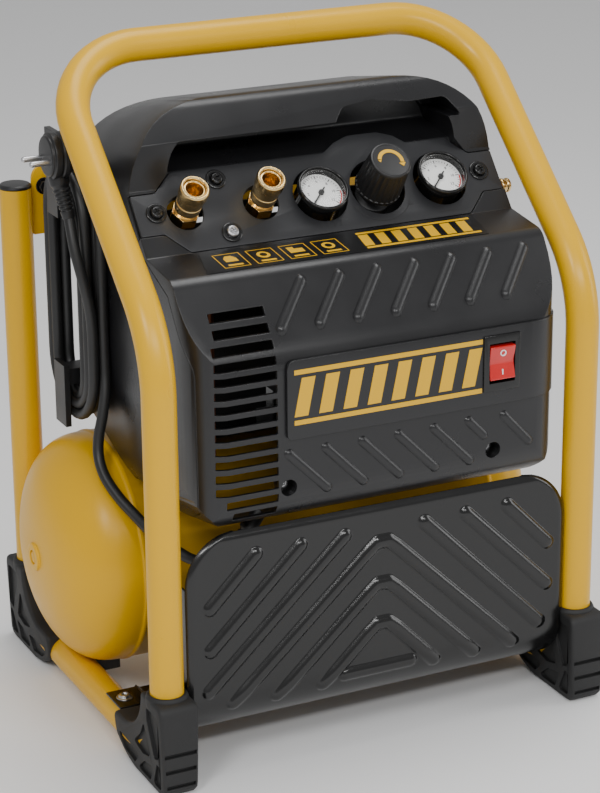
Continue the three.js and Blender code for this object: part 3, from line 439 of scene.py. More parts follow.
def inset(corners, distance):
    """Moves an outline's sides inwards, or outwards by a negative distance."""
    count = len(corners)
    area = sum(
        corners[i][0] * corners[(i + 1) % count][1]
        - corners[(i + 1) % count][0] * corners[i][1]
        for i in range(count)
    )
    turn = distance * math.copysign(1, area)
    lines = []
    for i, corner in enumerate(corners):
        along = Vector(corners[(i + 1) % count][:2]) - Vector(corner[:2])
        along.normalize()
        lines.append((Vector(corner[:2]) + Vector((-along.y, along.x)) * turn, along))
    out = []
    for i, corner in enumerate(corners):
        (pa, da), (pb, db) = lines[i - 1], lines[i]
        cross = da.x * db.y - da.y * db.x
        t = ((pb.x - pa.x) * db.y - (pb.y - pa.y) * db.x) / cross
        radius = corner[2] if len(corner) > 2 else 0
        point = pa + da * t
        out.append((point.x, point.y, max(radius - distance, 0)))
    return out


def prism(name, outline, low, high, axis):
    """Extrudes an outline along an axis: (Y, Z) along X, (X, Z) along Y, (X, Y) along Z."""
    order = {
        "X": lambda a, b, c: (c, a, b),
        "Y": lambda a, b, c: (a, c, b),
        "Z": lambda a, b, c: (a, b, c),
    }[axis]
    verts = [order(p[0], p[1], end) for end in (low, high) for p in outline]
    return recalculated(mesh_object(name, verts, sides_and_ends(len(outline))))


def block(name, low, high, bevel=0.0, segments=3):
    (x0, y0, z0), (x1, y1, z1) = low, high
    obj = prism(name, [(x0, y0), (x1, y0), (x1, y1), (x0, y1)], z0, z1, "Z")
    return bevelled(obj, bevel, segments) if bevel else obj


def soft_profile(points, radius=0.6, steps=3):
    """Rounds the corners of an open (radius, height) profile."""
    out = [Vector(points[0])]
    for i in range(1, len(points) - 1):
        p = Vector(points[i])
        a = Vector(points[i - 1]) - p
        b = Vector(points[i + 1]) - p
        reach = min(radius, a.length * 0.45, b.length * 0.45)
        if reach < 0.02:
            out.append(p)
            continue
        out += bend(p + a.normalized() * reach, p, p + b.normalized() * reach, steps)
    out.append(Vector(points[-1]))
    return out


def lathe(name, points, segments=64, matrix=None, soft=0.6, flute=None):
    """Turns an open profile of (radius, height) about Z, then places it."""
    profile = soft_profile(points, soft) if soft else [Vector(p) for p in points]
    matrix = matrix or Matrix.Identity(4)
    verts, rings = [], []
    for p in profile:
        if p.x < 1e-4:
            rings.append([len(verts)])
            verts.append(matrix @ Vector((0, 0, p.y)))
            continue
        ring = []
        for k in range(segments):
            angle = 2 * math.pi * k / segments
            radius = p.x * (flute(angle, p.y) if flute else 1)
            ring.append(len(verts))
            verts.append(matrix @ Vector((radius * math.cos(angle), radius * math.sin(angle), p.y)))
        rings.append(ring)
    faces = []
    for a, b in zip(rings, rings[1:]):
        for k in range(segments):
            j = (k + 1) % segments
            if len(a) == 1 and len(b) > 1:
                faces.append([a[0], b[k], b[j]])
            elif len(b) == 1 and len(a) > 1:
                faces.append([a[k], b[0], a[j]])
            elif len(a) > 1:
                faces.append([a[k], b[k], b[j], a[j]])
    return recalculated(mesh_object(name, verts, faces))


def frame_matrix(origin, z_axis, x_axis=(1, 0, 0)):
    """A frame's matrix from its origin, its Z axis and a rough X axis, in millimetres."""
    z = Vector(z_axis).normalized()
    x = Vector(x_axis)
    x = (x - z * x.dot(z)).normalized()
    y = z.cross(x)
    turn = Matrix((x, y, z)).transposed().to_4x4()
    return Matrix.Translation(Vector(origin)) @ turn


def moved_to(obj, matrix):
    """Places a mesh made in a local frame, by a matrix in millimetres."""
    scaled = matrix.copy()
    scaled.translation = matrix.translation * MM
    obj.data.transform(scaled)
    return obj


def printed(name, outline, low, high, matrix, mat, body="machine"):
    """A thin flat mark between two heights in a placed frame."""
    obj = moved_to(prism(name, outline, low, high, "Z"), matrix)
    return shown(obj, mat, body=body, smooth=20)


def turned(name, points, segments, matrix, soft, mat, **details):
    """A lathed piece with its finish."""
    return shown(lathe(name, points, segments, matrix, soft), mat, **details)


def grid_surface(name, place, columns, rows):
    """A sheet of quads from place(column, row)."""
    verts = [place(i, j) for j in range(rows + 1) for i in range(columns + 1)]
    width = columns + 1
    faces = [
        [j * width + i, j * width + i + 1, (j + 1) * width + i + 1, (j + 1) * width + i]
        for j in range(rows)
        for i in range(columns)
    ]
    return mesh_object(name, verts, faces)


cord = curve_tube("mains_cord", cord_points, CORD_R)
shown(cord, cord_rubber, replaces=["cord_tube", "cord_hank"], slot="cord_rubber")

# ---- cage


def bent_path(corners, radii, arc_steps=14):
    """A path through corners, with an arc of its own radius at each bend."""
    points = [Vector(corners[0])]
    for i in range(1, len(corners) - 1):
        corner = Vector(corners[i])
        into = (corner - Vector(corners[i - 1])).normalized()
        out = (Vector(corners[i + 1]) - corner).normalized()
        turn = into.angle(out)
        radius = radii[i - 1]
        inward = (out - into * into.dot(out)).normalized()
        start = corner - into * radius * math.tan(turn / 2)
        centre = start + inward * radius
        for k in range(arc_steps + 1):
            angle = turn * k / arc_steps
            spoke = into * radius * math.sin(angle)
            points.append(centre - inward * radius * math.cos(angle) + spoke)
    points.append(Vector(corners[-1]))
    return points


CAGE_X, CAGE_Y, TUBE_R, RAIL_Z, UPRIGHT_TOP = 192, 156, 14, 20, 429
half_cage = [
    (-CAGE_X, CAGE_Y, UPRIGHT_TOP),
    (-CAGE_X, CAGE_Y, RAIL_Z),
    (-CAGE_X, -CAGE_Y, RAIL_Z),
    (-CAGE_X, -CAGE_Y, 376),
    (-CAGE_X, 55, 565),
]
cage_corners = half_cage + [(-x, y, z) for x, y, z in reversed(half_cage)]
cage_path = bent_path(cage_corners, [60, 60, 100, 75, 75, 100, 60, 60])
cage = curve_tube("cage", cage_path, TUBE_R, 10, caps=False)
shown(cage, yellow, replaces=["cage_tube"], slot="yellow_paint")

SIDES = (("left", -1), ("right", 1))
cap_profile = [(0, -14), (12, -14), (12, 0.3), (14.2, 0.3), (14.2, 2.2), (12.5, 3.9), (0, 4.0)]
for side, sign in SIDES:
    at = Matrix.Translation((sign * CAGE_X, CAGE_Y, UPRIGHT_TOP))
    turned(f"end_cap_{side}", cap_profile, 48, at, 0.6, black_plastic,
           replaces=[f"upright_cap_{side}"], slot="black_plastic")

CROSS_HALF, CROSS_LOW, CROSS_HIGH, CROSS_THICK = 177.4, 385, 447, 3
cross_outline = [
    (-CROSS_HALF, CROSS_LOW, 2),
    (CROSS_HALF, CROSS_LOW, 2),
    (CROSS_HALF, CROSS_HIGH, 14),
    (-CROSS_HALF, CROSS_HIGH, 14),
]
cross_front, cross_back = CAGE_Y - CROSS_THICK / 2, CAGE_Y + CROSS_THICK / 2
cross = prism("cross_plate", rounded(cross_outline), cross_front, cross_back, "Y")
bevelled(cross, 0.8)
shown(cross, yellow, replaces=["rear_cross_plate"], slot="yellow_paint")


BOLT_ACROSS, BOLT_HEIGHT, WASHER_R, WASHER_THICK = 10, 4, 7.5, 1.2
BOLT_X, BOLT_Z = 166, 428


def bolt_head(name, origin, axis):
    """A hexagon bolt head with a chamfered top, on a washer."""
    matrix = frame_matrix(origin, axis)
    hexagon = circle(BOLT_ACROSS / 2 / math.cos(math.pi / 6), 6)
    head = prism(name, hexagon, WASHER_THICK - 0.4, WASHER_THICK + BOLT_HEIGHT, "Z")
    bevelled(head, 0.7, 2)
    shown(moved_to(head, matrix), black_paint)
    washer = [(0, -0.4), (WASHER_R, -0.4), (WASHER_R, WASHER_THICK), (0, WASHER_THICK)]
    turned(name + "_washer", washer, 40, matrix, 0.3, black_paint)


for side, sign in SIDES:
    bolt_head(f"cross_bolt_{side}_front", (sign * BOLT_X, cross_front - 0.1, BOLT_Z), (0, -1, 0))
    bolt_head(f"cross_bolt_{side}_rear", (sign * BOLT_X, cross_back + 0.1, BOLT_Z), (0, 1, 0))

# ---- feet


FOOT_SADDLE, FOOT_HALF, POCKET_FLOOR = 43, 17, 14.2
FOOT_COLLAR = [(14.3, 50), (16.8, 50), (17.6, 54), (17.6, 60), (16, 63), (14.3, 63)]
# How far a foot narrows, from this height down over this drop.
TAPER, TAPER_FROM, TAPER_DROP = 0.1, 34, 22


def foot(name, sign, facing, replaced):
    """A moulded corner foot about the cage's corner: heel, toe and a saddle for the bend."""
    outline = [Vector((-26, -9)), Vector((-25, -14.5)), Vector((-20.5, -19)), Vector((-14, -20))]
    outline += [Vector((38, -20))]
    outline += bend(Vector((38, -20)), Vector((62, -17)), Vector((76, -5)), 8, first=1)
    outline += [Vector((78, 3)), Vector((78, 12)), Vector((75.5, 17)), Vector((60, 17))]
    for k in range(1, 13):
        angle = k / 12 * math.pi / 2
        across, up = FOOT_SADDLE * math.sin(angle), FOOT_SADDLE * math.cos(angle)
        outline.append(Vector((60 - across, 60 - up)))
    outline += [Vector((-20, 60)), Vector((-24.5, 58)), Vector((-26, 52))]
    obj = prism(name, outline, -FOOT_HALF, FOOT_HALF, "X")
    bevelled(obj, 3.2, 4, 50)
    cutters = []
    # grooves across the heel
    for z in (-10, 4, 18):
        groove = [(-30, z - 2.6), (-22.6, z - 1.2), (-22.6, z + 1.2), (-30, z + 2.6)]
        cutters.append(prism("groove", groove, -14, 14, "X"))
    # moulded pockets in both side faces, between spokes
    pockets = [
        [(-19, -14), (-3, -14), (-14, 8), (-19, 8)],
        [(3, -14.5), (30, -14.5), (14, -2), (-6, 2)],
        [(36, -13.5), (58, -10.5), (67, -4), (67, 2), (24, -1)],
        [(-19, 14), (-10, 11), (4, 40), (4, 51), (-19, 51)],
        [(0, 8), (16, 4), (34, 8), (18, 22), (10, 36)],
    ]
    for pocket in pockets:
        shape = rounded([(x, z, 3) for x, z in pocket], 4)
        cutters.append(prism("pocket", shape, POCKET_FLOOR, 20, "X"))
        cutters.append(prism("pocket", shape, -20, -POCKET_FLOOR, "X"))
    combined(obj, cutters)
    if facing < 0:
        for v in obj.data.vertices:
            v.co.y = -v.co.y
        obj.data.flip_normals()
    corner = Matrix.Translation((sign * CAGE_X, -facing * CAGE_Y, RAIL_Z))
    moved_to(obj, corner)
    middle = sign * CAGE_X * MM
    for v in obj.data.vertices:
        drop = min(max((TAPER_FROM * MM - v.co.z) / (TAPER_DROP * MM), 0), 1)
        v.co.x = middle + (v.co.x - middle) * (1 - TAPER * drop)
    shown(obj, rubber, replaces=[replaced], slot="grey_rubber", smooth=40)
    turned(name + "_collar", FOOT_COLLAR, 56, corner, 0.8, rubber)


for side, sign in SIDES:
    for end, facing in (("front", 1), ("rear", -1)):
        foot(f"rubber_foot_{end}_{side}", sign, facing, f"foot_{end}_{side}")

# ---- tank

TANK_Y, TANK_Z, TANK_R, TANK_HALF, DOME = 44, 132, 100.5, 170, 59
DOME_POWER = 2 / 2.35
DOME_STEPS = 26
tank_profile = [(0, -TANK_HALF - DOME)]
for k in range(1, DOME_STEPS + 1):
    a = math.pi / 2 * k / DOME_STEPS
    bulge = DOME * max(math.cos(a), 0) ** DOME_POWER
    tank_profile.append((TANK_R * math.sin(a) ** DOME_POWER, -TANK_HALF - bulge))
# a low weld bead where each head meets the shell
for x, r in ((-168.2, 0.0), (-167.6, 0.9), (-166.4, 1.3), (-165, 1.3), (-163.8, 0.9), (-163.2, 0.0)):
    tank_profile.append((TANK_R + r * 0.8, x))
tank_profile += [(r, -x) for r, x in reversed(tank_profile)]
turned("tank", tank_profile, 128, frame_matrix((0, TANK_Y, TANK_Z), (1, 0, 0), (0, 1, 0)), 0, tank_yellow,
       replaces=["tank_shell", "tank_head_left", "tank_head_right"], slot="yellow_paint", smooth=60)
boss_profile = [
    (16.5, -2.6), (14.5, -0.6), (12.5, -0.1), (12.5, 1.4), (11, 2), (6.4, 2), (6.4, -1.2), (0, -1.2),
]
for side, sign in SIDES:
    matrix = frame_matrix((sign * (TANK_HALF + DOME), TANK_Y, TANK_Z), (sign, 0, 0), (0, 1, 0))
    turned(f"tank_boss_{side}", boss_profile, 56, matrix, 0.5, tank_yellow, slot="yellow_paint")
    tank_plug = prism(f"tank_plug_{side}", circle(5.6, 6), -1.5, 1.4, "Z")
    bevelled(tank_plug, 0.5, 2)
    shown(moved_to(tank_plug, matrix), tank_yellow)

# ---- skid plate

PLATE_Y, PLATE_TOP, PLATE_HALF, PLATE_R, PLATE_LOW = -162, 212, 174.7, 40, 34.3
PLATE_BACK, PLATE_CORNER = -45, 42
wall_run = PLATE_TOP - (PLATE_LOW + PLATE_R)
bend_run = PLATE_R * math.pi / 2
floor_run = PLATE_BACK - (PLATE_Y + PLATE_R)
plate_run = wall_run + bend_run + floor_run


def plate_place(run):
    """(Y, Z) and the outward normal's (Y, Z) at a distance down the plate's outer face."""
    if run < wall_run:
        return (PLATE_Y, PLATE_TOP - run), (-1, 0)
    if run < wall_run + bend_run:
        a = (run - wall_run) / PLATE_R
        return (
            (PLATE_Y + PLATE_R - PLATE_R * math.cos(a), PLATE_LOW + PLATE_R - PLATE_R * math.sin(a)),
            (-math.cos(a), -math.sin(a)),
        )
    return (PLATE_Y + PLATE_R + run - wall_run - bend_run, PLATE_LOW), (0, -1)


# Embossed bars: (x, z) to (x, z), straight across the face.
bars = [((-115 + 40 * k, 191.5), (-156, 151 - 37 * k)) for k in range(2)]
bars.append(((-35, 192), (-158, 78)))
bars += [((118 - 40 * k, 191), (158, 150 - 38 * k)) for k in range(2)]
bars.append(((39, 190.5), (151, 78)))
for top, half in ((183, 136), (146, 96), (110, 54)):
    peak = [(-13, top - 9), (-5, top - 2.5), (5, top - 2.5), (13, top - 9)]
    bars += list(zip(peak, peak[1:]))
    bars.append(((-13, top - 9), (-half, top - half * 0.88)))
    bars.append(((13, top - 9), (half * 0.93, top - half * 0.88)))
bars.append(((-34, 67), (27, 67)))


def near_bar(x, z, bar):
    """The distance from a point of the face to a bar's middle line."""
    (ax, az), (bx, bz) = bar
    dx, dz = bx - ax, bz - az
    t = max(0, min(1, ((x - ax) * dx + (z - az) * dz) / (dx * dx + dz * dz)))
    return math.hypot(x - ax - dx * t, z - az - dz * t)


def raised(distance, half_width, height):
    """The height of a bar's rounded section at a distance from its middle line."""
    if distance >= half_width:
        return 0.0
    return height * (0.5 + 0.5 * math.cos(math.pi * (distance / half_width) ** 1.5))


def plate_half_width(run):
    """Half the plate's width, which is less at its rounded top corners."""
    if run >= PLATE_CORNER:
        return PLATE_HALF
    d = PLATE_CORNER - run
    return PLATE_HALF - PLATE_CORNER + math.sqrt(max(PLATE_CORNER**2 - d * d, 0))


PLATE_COLUMNS, PLATE_ROWS, PLATE_START = 240, 210, 0.02
BAR_HALF_WIDTH, BAR_HEIGHT, BARS_FROM = 6.6, 3.4, 40
RIM, RIM_FALL = 5, 3.0


def plate_point(i, j):
    run = PLATE_START + (plate_run - PLATE_START) * (j / PLATE_ROWS)
    half = plate_half_width(run)
    x = half * (2 * i / PLATE_COLUMNS - 1)
    (y, z), (ny, nz) = plate_place(run)
    lift = 0.0
    height = PLATE_TOP - run
    if height > BARS_FROM:
        lift = max(raised(near_bar(x, height, bar), BAR_HALF_WIDTH, BAR_HEIGHT) for bar in bars)
    rim = max(0.0, abs(x) - (half - RIM)) / RIM
    top_rim = max(0.0, RIM - run) / RIM
    lift -= RIM_FALL * max(rim, top_rim) ** 2
    return (x, y + ny * lift, z + nz * lift)


plate = grid_surface("skid_sheet", plate_point, PLATE_COLUMNS, PLATE_ROWS)
thick = plate.modifiers.new("thickness", "SOLIDIFY")
thick.thickness = 2 * MM
thick.offset = -1
baked(plate)
recalculated(plate)
shown(plate, black_paint, replaces=["skid_plate"], slot="black_paint", smooth=60)
tab_screw_profile = [(0, 0), (7, 0), (7, 0.8), (5.2, 1.2), (4.8, 2.8), (2.6, 3.6), (2.0, 2.0), (0, 2.0)]
for side, sign in SIDES:
    x0, x1 = sorted((sign * (PLATE_HALF - 2), sign * (PLATE_HALF + 28)))
    tab = block(f"skid_tab_{side}", (x0, -79, PLATE_LOW), (x1, -46, PLATE_LOW + 2.2), 0.8)
    shown(tab, black_paint, slot="black_paint")
    turned(f"tab_screw_{side}", tab_screw_profile, 32,
           Matrix.Translation((sign * CAGE_X, -62, 36.4)), 0.4, steel)
    x0, x1 = sorted((sign * (PLATE_HALF - 2.1), sign * (PLATE_HALF - 0.1)))
    flange = block(f"skid_flange_{side}", (x0, -160.5, 75), (x1, -146, 168), 0.8)
    shown(flange, black_paint, slot="black_paint")

# ---- covers

HALF_WIDTH = 167
WALL = 3
SLOPE = math.radians(50)
PANEL_Y, PANEL_Z, PANEL_LENGTH = -79, 422, 75
pc, ps = math.cos(SLOPE), math.sin(SLOPE)


def on_panel(along, out=0.0):
    """(Y, Z) at a distance up the panel's slope and out of its face."""
    return (PANEL_Y + along * pc - out * ps, PANEL_Z + along * ps + out * pc)


CREST_Y, HOOD_FALL, RECESS_HALF = -19, 0.2, 132
LIP_Y, LIP_Z, TOP, LOW, BACK, FRONT = -41, 504, 533, 182.5, 100, -171
hood_foot = (LIP_Y - PANEL_Y) / pc
body_profile = [
    (-104, 200, 4),
    (FRONT, 222, 34),
    (FRONT + 1, 356, 44),
    (-128, 416, 16),
    (*on_panel(0), 2),
    (*on_panel(hood_foot), 0),
    (LIP_Y, LIP_Z, 3),
    (CREST_Y, TOP, 14),
    (BACK - 16, 512, 30),
    (BACK, 470, 20),
    (BACK, 264, 12),
    (36, 246, 20),
    (-44, 216, 20),
]
recess_profile = [
    (*on_panel(hood_foot - 12, -2), 0),
    (*on_panel(PANEL_LENGTH - 1, -2), 0),
    (14, LIP_Z - 18, 4),
    (14, LIP_Z + 9, 6),
    (LIP_Y - 12, LIP_Z - 2, 0),
]
front_outline = [
    (-HALF_WIDTH, LOW, 58),
    (HALF_WIDTH, LOW, 58),
    (HALF_WIDTH, TOP, 90),
    (-HALF_WIDTH, TOP, 90),
]
recess_outline = [
    (-RECESS_HALF, PANEL_Z, 0),
    (RECESS_HALF, PANEL_Z, 0),
    (RECESS_HALF, LIP_Z + 9, 40),
    (-RECESS_HALF, LIP_Z + 9, 40),
]
plan_outline = [
    (-HALF_WIDTH, FRONT - 1, 40),
    (HALF_WIDTH, FRONT - 1, 40),
    (HALF_WIDTH, BACK, 30),
    (-HALF_WIDTH, BACK, 30),
]


# The arch in the hood's front, over the gauges.
hump_outline = [
    (14, 498, 2), (30, 514.5, 8), (58, 517.5, 12), (84, 514, 4), (92, 513, 4), (126, 514, 8), (138, 498, 2),
]


def body_solid(inwards, edge):
    """Both covers as one solid, a wall's thickness inwards, with its edges rounded."""
    body = prism("body", rounded(inset(body_profile, inwards), 10), -HALF_WIDTH - 1, HALF_WIDTH + 1, "X")
    across = prism("across", rounded(inset(front_outline, inwards), 16), FRONT - 5, BACK + 5, "Y")
    for v in across.data.vertices:
        v.co.z -= HOOD_FALL * (v.co.y - CREST_Y * MM)
    plan = prism("plan", rounded(inset(plan_outline, inwards), 10), LOW - 5, TOP + 5, "Z")
    combined(body, [across, plan], "INTERSECT")
    reach = RECESS_HALF + inwards
    recess = prism("recess", rounded(inset(recess_profile, -inwards), 8), -reach, reach, "X")
    ends = prism("recess_ends", rounded(inset(recess_outline, -inwards), 12), LIP_Y - 40, 34, "Y")
    combined(recess, [ends], "INTERSECT")
    hump = prism("hump", rounded(inset(hump_outline, -inwards), 5), -70 - inwards, 8 + inwards, "Y")
    combined(body, [recess, hump])
    if edge:
        bevelled(body, edge, 4, 32)
    return body


outer = body_solid(0, 3.0)
inner = body_solid(WALL, 0)
inner_back = BACK - WALL - 1
open_bottom = [(-112, 150), (-100, 207), (-44, 222), (36, 252), (inner_back, 271), (inner_back, 150)]
underside = prism("underside", open_bottom, -HALF_WIDTH + WALL, HALF_WIDTH - WALL, "X")
shell = combined(outer, [inner, underside])

seam = inset(body_profile, 14)
SHELF_END = 19
seam_corners = [
    (-100, 150, 0),
    (-100, 204, 0),
    (*seam[1][:2], 0),
    (*seam[2][:2], 30),
    (*seam[3][:2], 0),
    (*on_panel(SHELF_END, -14), 0),
    (*on_panel(SHELF_END, 30), 0),
    (-260, 480, 0),
    (-260, 150, 0),
]


def seam_zone(grow):
    """The room of the front cover, grown by the seam's gap for the rear one."""
    return prism("zone", rounded(inset(seam_corners, -grow), 8), -HALF_WIDTH - 2, HALF_WIDTH + 2, "X")


def panel_outline(grow, hump_rise):
    """The control panel's outline, (x, distance up the slope, corner radius)."""
    half = HALF_WIDTH + 4 * grow
    raised_edge = PANEL_LENGTH - 2
    right = [(128, 0.6, 5), (146, SHELF_END, 3), (half, SHELF_END, 2), (half, 56, 2), (144, 56, 6)]
    right.append((126, raised_edge, 6))
    if hump_rise:
        middle = [(90, raised_edge, 6), (80, raised_edge + 8, 8), (66, raised_edge + hump_rise, 14),
                  (38, raised_edge + hump_rise, 14), (24, raised_edge + 8, 8), (12, raised_edge, 6)]
    else:
        middle = [(84, raised_edge, 8), (72, raised_edge + 1.2, 6), (30, raised_edge + 1.2, 6),
                  (18, raised_edge, 8)]
    left = [(-x, s, r) for x, s, r in reversed(right)]
    return inset(right + middle + left, -grow)


panel_matrix = frame_matrix((0, PANEL_Y, PANEL_Z), (0, -ps, pc))
panel_cut = moved_to(prism("panel_cut", rounded(panel_outline(0.4, 0), 4), -3.4, 12, "Z"), panel_matrix)

FITTING_RISE = math.radians(50)
FITTING_UP = 36
fitting_axis = (0, -math.cos(FITTING_RISE), math.sin(FITTING_RISE))


def fit_matrix(x):
    return frame_matrix((x, *on_panel(FITTING_UP)), fitting_axis)


# Each fitting's X and the radius of its hole in the panel.
FITTINGS = {
    "coupler_left": (-123, 15.3),
    "coupler_right": (-56, 15.3),
    "tank_gauge": (-2, 24),
    "regulator": (51, 24.5),
    "line_gauge": (110, 24),
}


def drill(name, radius, low, high, matrix, segments=40):
    """A plain round cutter."""
    return lathe(name, [(0, low), (radius, low), (radius, high), (0, high)], segments, matrix, 0)


def hole_cutters():
    return [drill("hole", radius, -18, 18, fit_matrix(x), 48) for x, radius in FITTINGS.values()]


front = shell
rear = shell.copy()
rear.data = shell.data.copy()
rear.name = "rear_shell"
scene.collection.objects.link(rear)
front.name = "front_shell"
combined(front, [seam_zone(0)], "INTERSECT")
combined(front, [panel_cut], keep=True)

SWITCH_X, SWITCH_Z = 104, 323
COVER_SCREWS, SCREW_Z = (("left", -88), ("right", 99)), 246


def switch_block(name, half_x, half_z, y0, y1, bevel=0.0):
    """A block about the switch's middle."""
    low = (SWITCH_X - half_x, y0, SWITCH_Z - half_z)
    return block(name, low, (SWITCH_X + half_x, y1, SWITCH_Z + half_z), bevel)


VENTS, VENT_LOW, VENT_STEP, VENT_HEIGHT, VENT_LEFT, VENT_RIGHT = 15, 224, 11.5, 7, -150, -97
front_cutters = []
for k in range(VENTS):
    low = VENT_LOW + VENT_STEP * k
    high = low + VENT_HEIGHT
    # the lowest two and the highest two are shorter, where the cover's corner turns in
    left = VENT_LEFT + (15 - 7 * k if k < 2 else 0) + (5 if k > VENTS - 3 else 0)
    vent = [(left, low, 1), (VENT_RIGHT, low, 1), (VENT_RIGHT, high, 1), (left, high, 1)]
    front_cutters.append(prism("vent", rounded(vent, 3), -200, -120, "Y"))
front_cutters.append(switch_block("switch_hole", 14.5, 20.5, -200, -120))
for _, x in COVER_SCREWS:
    front_cutters.append(drill("screw_hole", 7, -40, 40, frame_matrix((x, FRONT, SCREW_Z), (0, -1, 0))))
combined(front, front_cutters)
shown(front, cover_plastic, replaces=["front_cover"], slot="cover_plastic", smooth=28)

# ---- rear cover

combined(rear, [seam_zone(0.6), panel_cut])
rear_cutters = hole_cutters()
for k in range(7):
    low = 300 + 18 * k
    rear_cutters.append(block("louvre", (-120, BACK - 7, low), (120, BACK + 2, low + 8)))
valve_matrix = frame_matrix((0, -50, 434), (1, 0, 0), (0, 1, 0))
rear_cutters.append(drill("valve_hole", 7.5, 150, 175, valve_matrix))
combined(rear, rear_cutters)
shown(rear, cover_plastic, replaces=["rear_cover"], slot="cover_plastic", smooth=28)

# ---- front cover relief

face_line = rounded(body_profile, 24)


def face_at(z):
    """(Y, outward normal) of the front face at a height, between the lower lip and the shelf."""
    best = None
    for a, b in zip(face_line, face_line[1:]):
        low_z, high_z = sorted((a.y, b.y))
        if low_z <= z <= high_z and max(a.x, b.x) < -95 and high_z > low_z:
            t = (z - a.y) / (b.y - a.y)
            y = a.x + (b.x - a.x) * t
            along = (b - a).normalized()
            if best is None or y < best[0]:
                normal = Vector((along.y, -along.x))
                if normal.x > 0:
                    normal = -normal
                best = (y, normal)
    return best


def ridge(name, start, end, half_width, height, samples=28, across=10):
    """A rounded bar moulded on the front face, from (x, z) to (x, z)."""
    ax, az = start
    bx, bz = end
    length = math.hypot(bx - ax, bz - az)
    ux, uz = (bx - ax) / length, (bz - az) / length
    total = length + 2 * half_width

    def place(i, j):
        along = -half_width + total * j / samples
        end_distance = max(0.0, -along, along - length)
        reach = math.sqrt(max(half_width**2 - end_distance**2, 0.0))
        side = reach * (2 * i / across - 1)
        x = ax + ux * along - uz * side
        z = az + uz * along + ux * side
        y, normal = face_at(z)
        distance = math.hypot(side, end_distance)
        rise = height * math.cos(min(1.0, distance / half_width) * math.pi / 2) ** 0.8 - 0.15
        return (x, y + normal.x * rise, z + normal.y * rise)

    obj = grid_surface(name, place, across, samples)
    recalculated(obj)
    if sum(p.normal.y for p in obj.data.polygons) > 0:
        obj.data.flip_normals()
    shown(obj, cover_plastic, slot="cover_plastic", smooth=60)


for k in range(7):
    x = -59 + 34.0 * k
    ridge(f"upper_rib_{k}", (x, 405), (x - 28, 375), 4.8, 3.6, samples=40)
for k in range(5):
    x = -88 + 32.8 * k
    ridge(f"lower_rib_{k}", (x, 275), (x + 34.5, 240), 4.4, 2.6)
ridge("lower_rib_5", (76, 275.5), (90, 261), 4.4, 2.6)
ridge("lower_rib_6", (109, 275), (133, 249), 4.4, 2.6)

# The belt: a raised band round the cover's front corner, with its marks.
BELT_LOW, BELT_HIGH, BELT_LEFT, BELT_OUT = 287, 353, -90, 1.4
belt = prism("belt", rounded(inset(plan_outline, -BELT_OUT), 14), BELT_LOW, BELT_HIGH, "Z")
field = [(BELT_LEFT, BELT_LOW, 5), (180, BELT_LOW, 0), (180, BELT_HIGH, 0), (BELT_LEFT, BELT_HIGH, 8)]
combined(belt, [prism("field", rounded(field, 6), FRONT - 9, FRONT + 30, "Y")], "INTERSECT")
bevelled(belt, 1.6, 4)
belt_room = prism("belt_room", rounded(inset(plan_outline, 1.5), 14), BELT_LOW - 7, BELT_HIGH + 7, "Z")
combined(belt, [belt_room])
combined(belt, [switch_block("switch_clear", 15, 21, -190, -160)])
shown(belt, cover_plastic, slot="cover_plastic", smooth=28)


def flat_mark(name, outline):
    """A thin mark on the belt, facing forwards."""
    y = FRONT - 2.45
    shown(prism(name, outline, y - 0.25, y + 0.1, "Y"), label_yellow, smooth=20)


for tag, low in (("high", 341), ("low", 299)):
    flat_mark(f"badge_bar_{tag}", [(-84, low), (86, low), (86, low + 4), (-84, low + 4)])
for k in range(8):
    x = -84 + 21.6 * k
    flat_mark(f"badge_block_{k}", [(x, 306), (x + 12, 306), (x + 18.6, 338), (x + 6.6, 338)])

well_profile = [(7.4, 10), (7.1, 10), (7.1, -2), (0, -2)]
cover_screw_profile = [(0, -1), (5, -1), (5, 0.6), (3.4, 2), (1.6, 2), (1.4, 0.8), (0, 0.8)]
for side, x in COVER_SCREWS:
    matrix = frame_matrix((x, -158, SCREW_Z), (0, -1, 0))
    turned(f"screw_well_{side}", well_profile, 40, matrix, 0, black_plastic)
    turned(f"cover_screw_{side}", cover_screw_profile, 32, matrix, 0.3, steel)

# label strip on the shelf
shelf_a, shelf_b = Vector((-127, 416.2)), Vector((-80.5, 421.8))


def on_shelf(x, t, out=0.0):
    p = shelf_a.lerp(shelf_b, t)
    along = (shelf_b - shelf_a).normalized()
    n = Vector((-along.y, along.x))
    p = p + n * out
    return (x, p.x, p.y)


def shelf_mark(name, outline, mat=label_yellow, out=0.25, thickness=0.15):
    """A thin printed shape on the shelf, from outline points (x, share of the shelf's depth)."""
    verts = [on_shelf(x, t, rise) for rise in (out, out + thickness) for x, t in outline]
    obj = recalculated(mesh_object(name, verts, sides_and_ends(len(outline))))
    shown(obj, mat, smooth=20)


strip = [(-134, 0.1), (120, 0.1), (126, 0.95), (-124, 0.95)]
shelf_mark("label_strip", strip, label_black, 0.05, 0.25)
depth = (shelf_b - shelf_a).length


def shelf_frame(name, x0, x1, t0, t1, line):
    """An outlined box printed on the shelf."""
    for tag, (a, b, c, d) in (
        ("low", (x0, x1, t0, t0 + line / depth)),
        ("high", (x0, x1, t1 - line / depth, t1)),
        ("left", (x0, x0 + line, t0, t1)),
        ("right", (x1 - line, x1, t0, t1)),
    ):
        shelf_mark(f"{name}_{tag}", [(a, c), (b, c), (b, d), (a, d)])


def shelf_ring(x, radius, deep, count):
    return circle(radius, count, (x + 11.5, 0.56), deep / depth / radius)


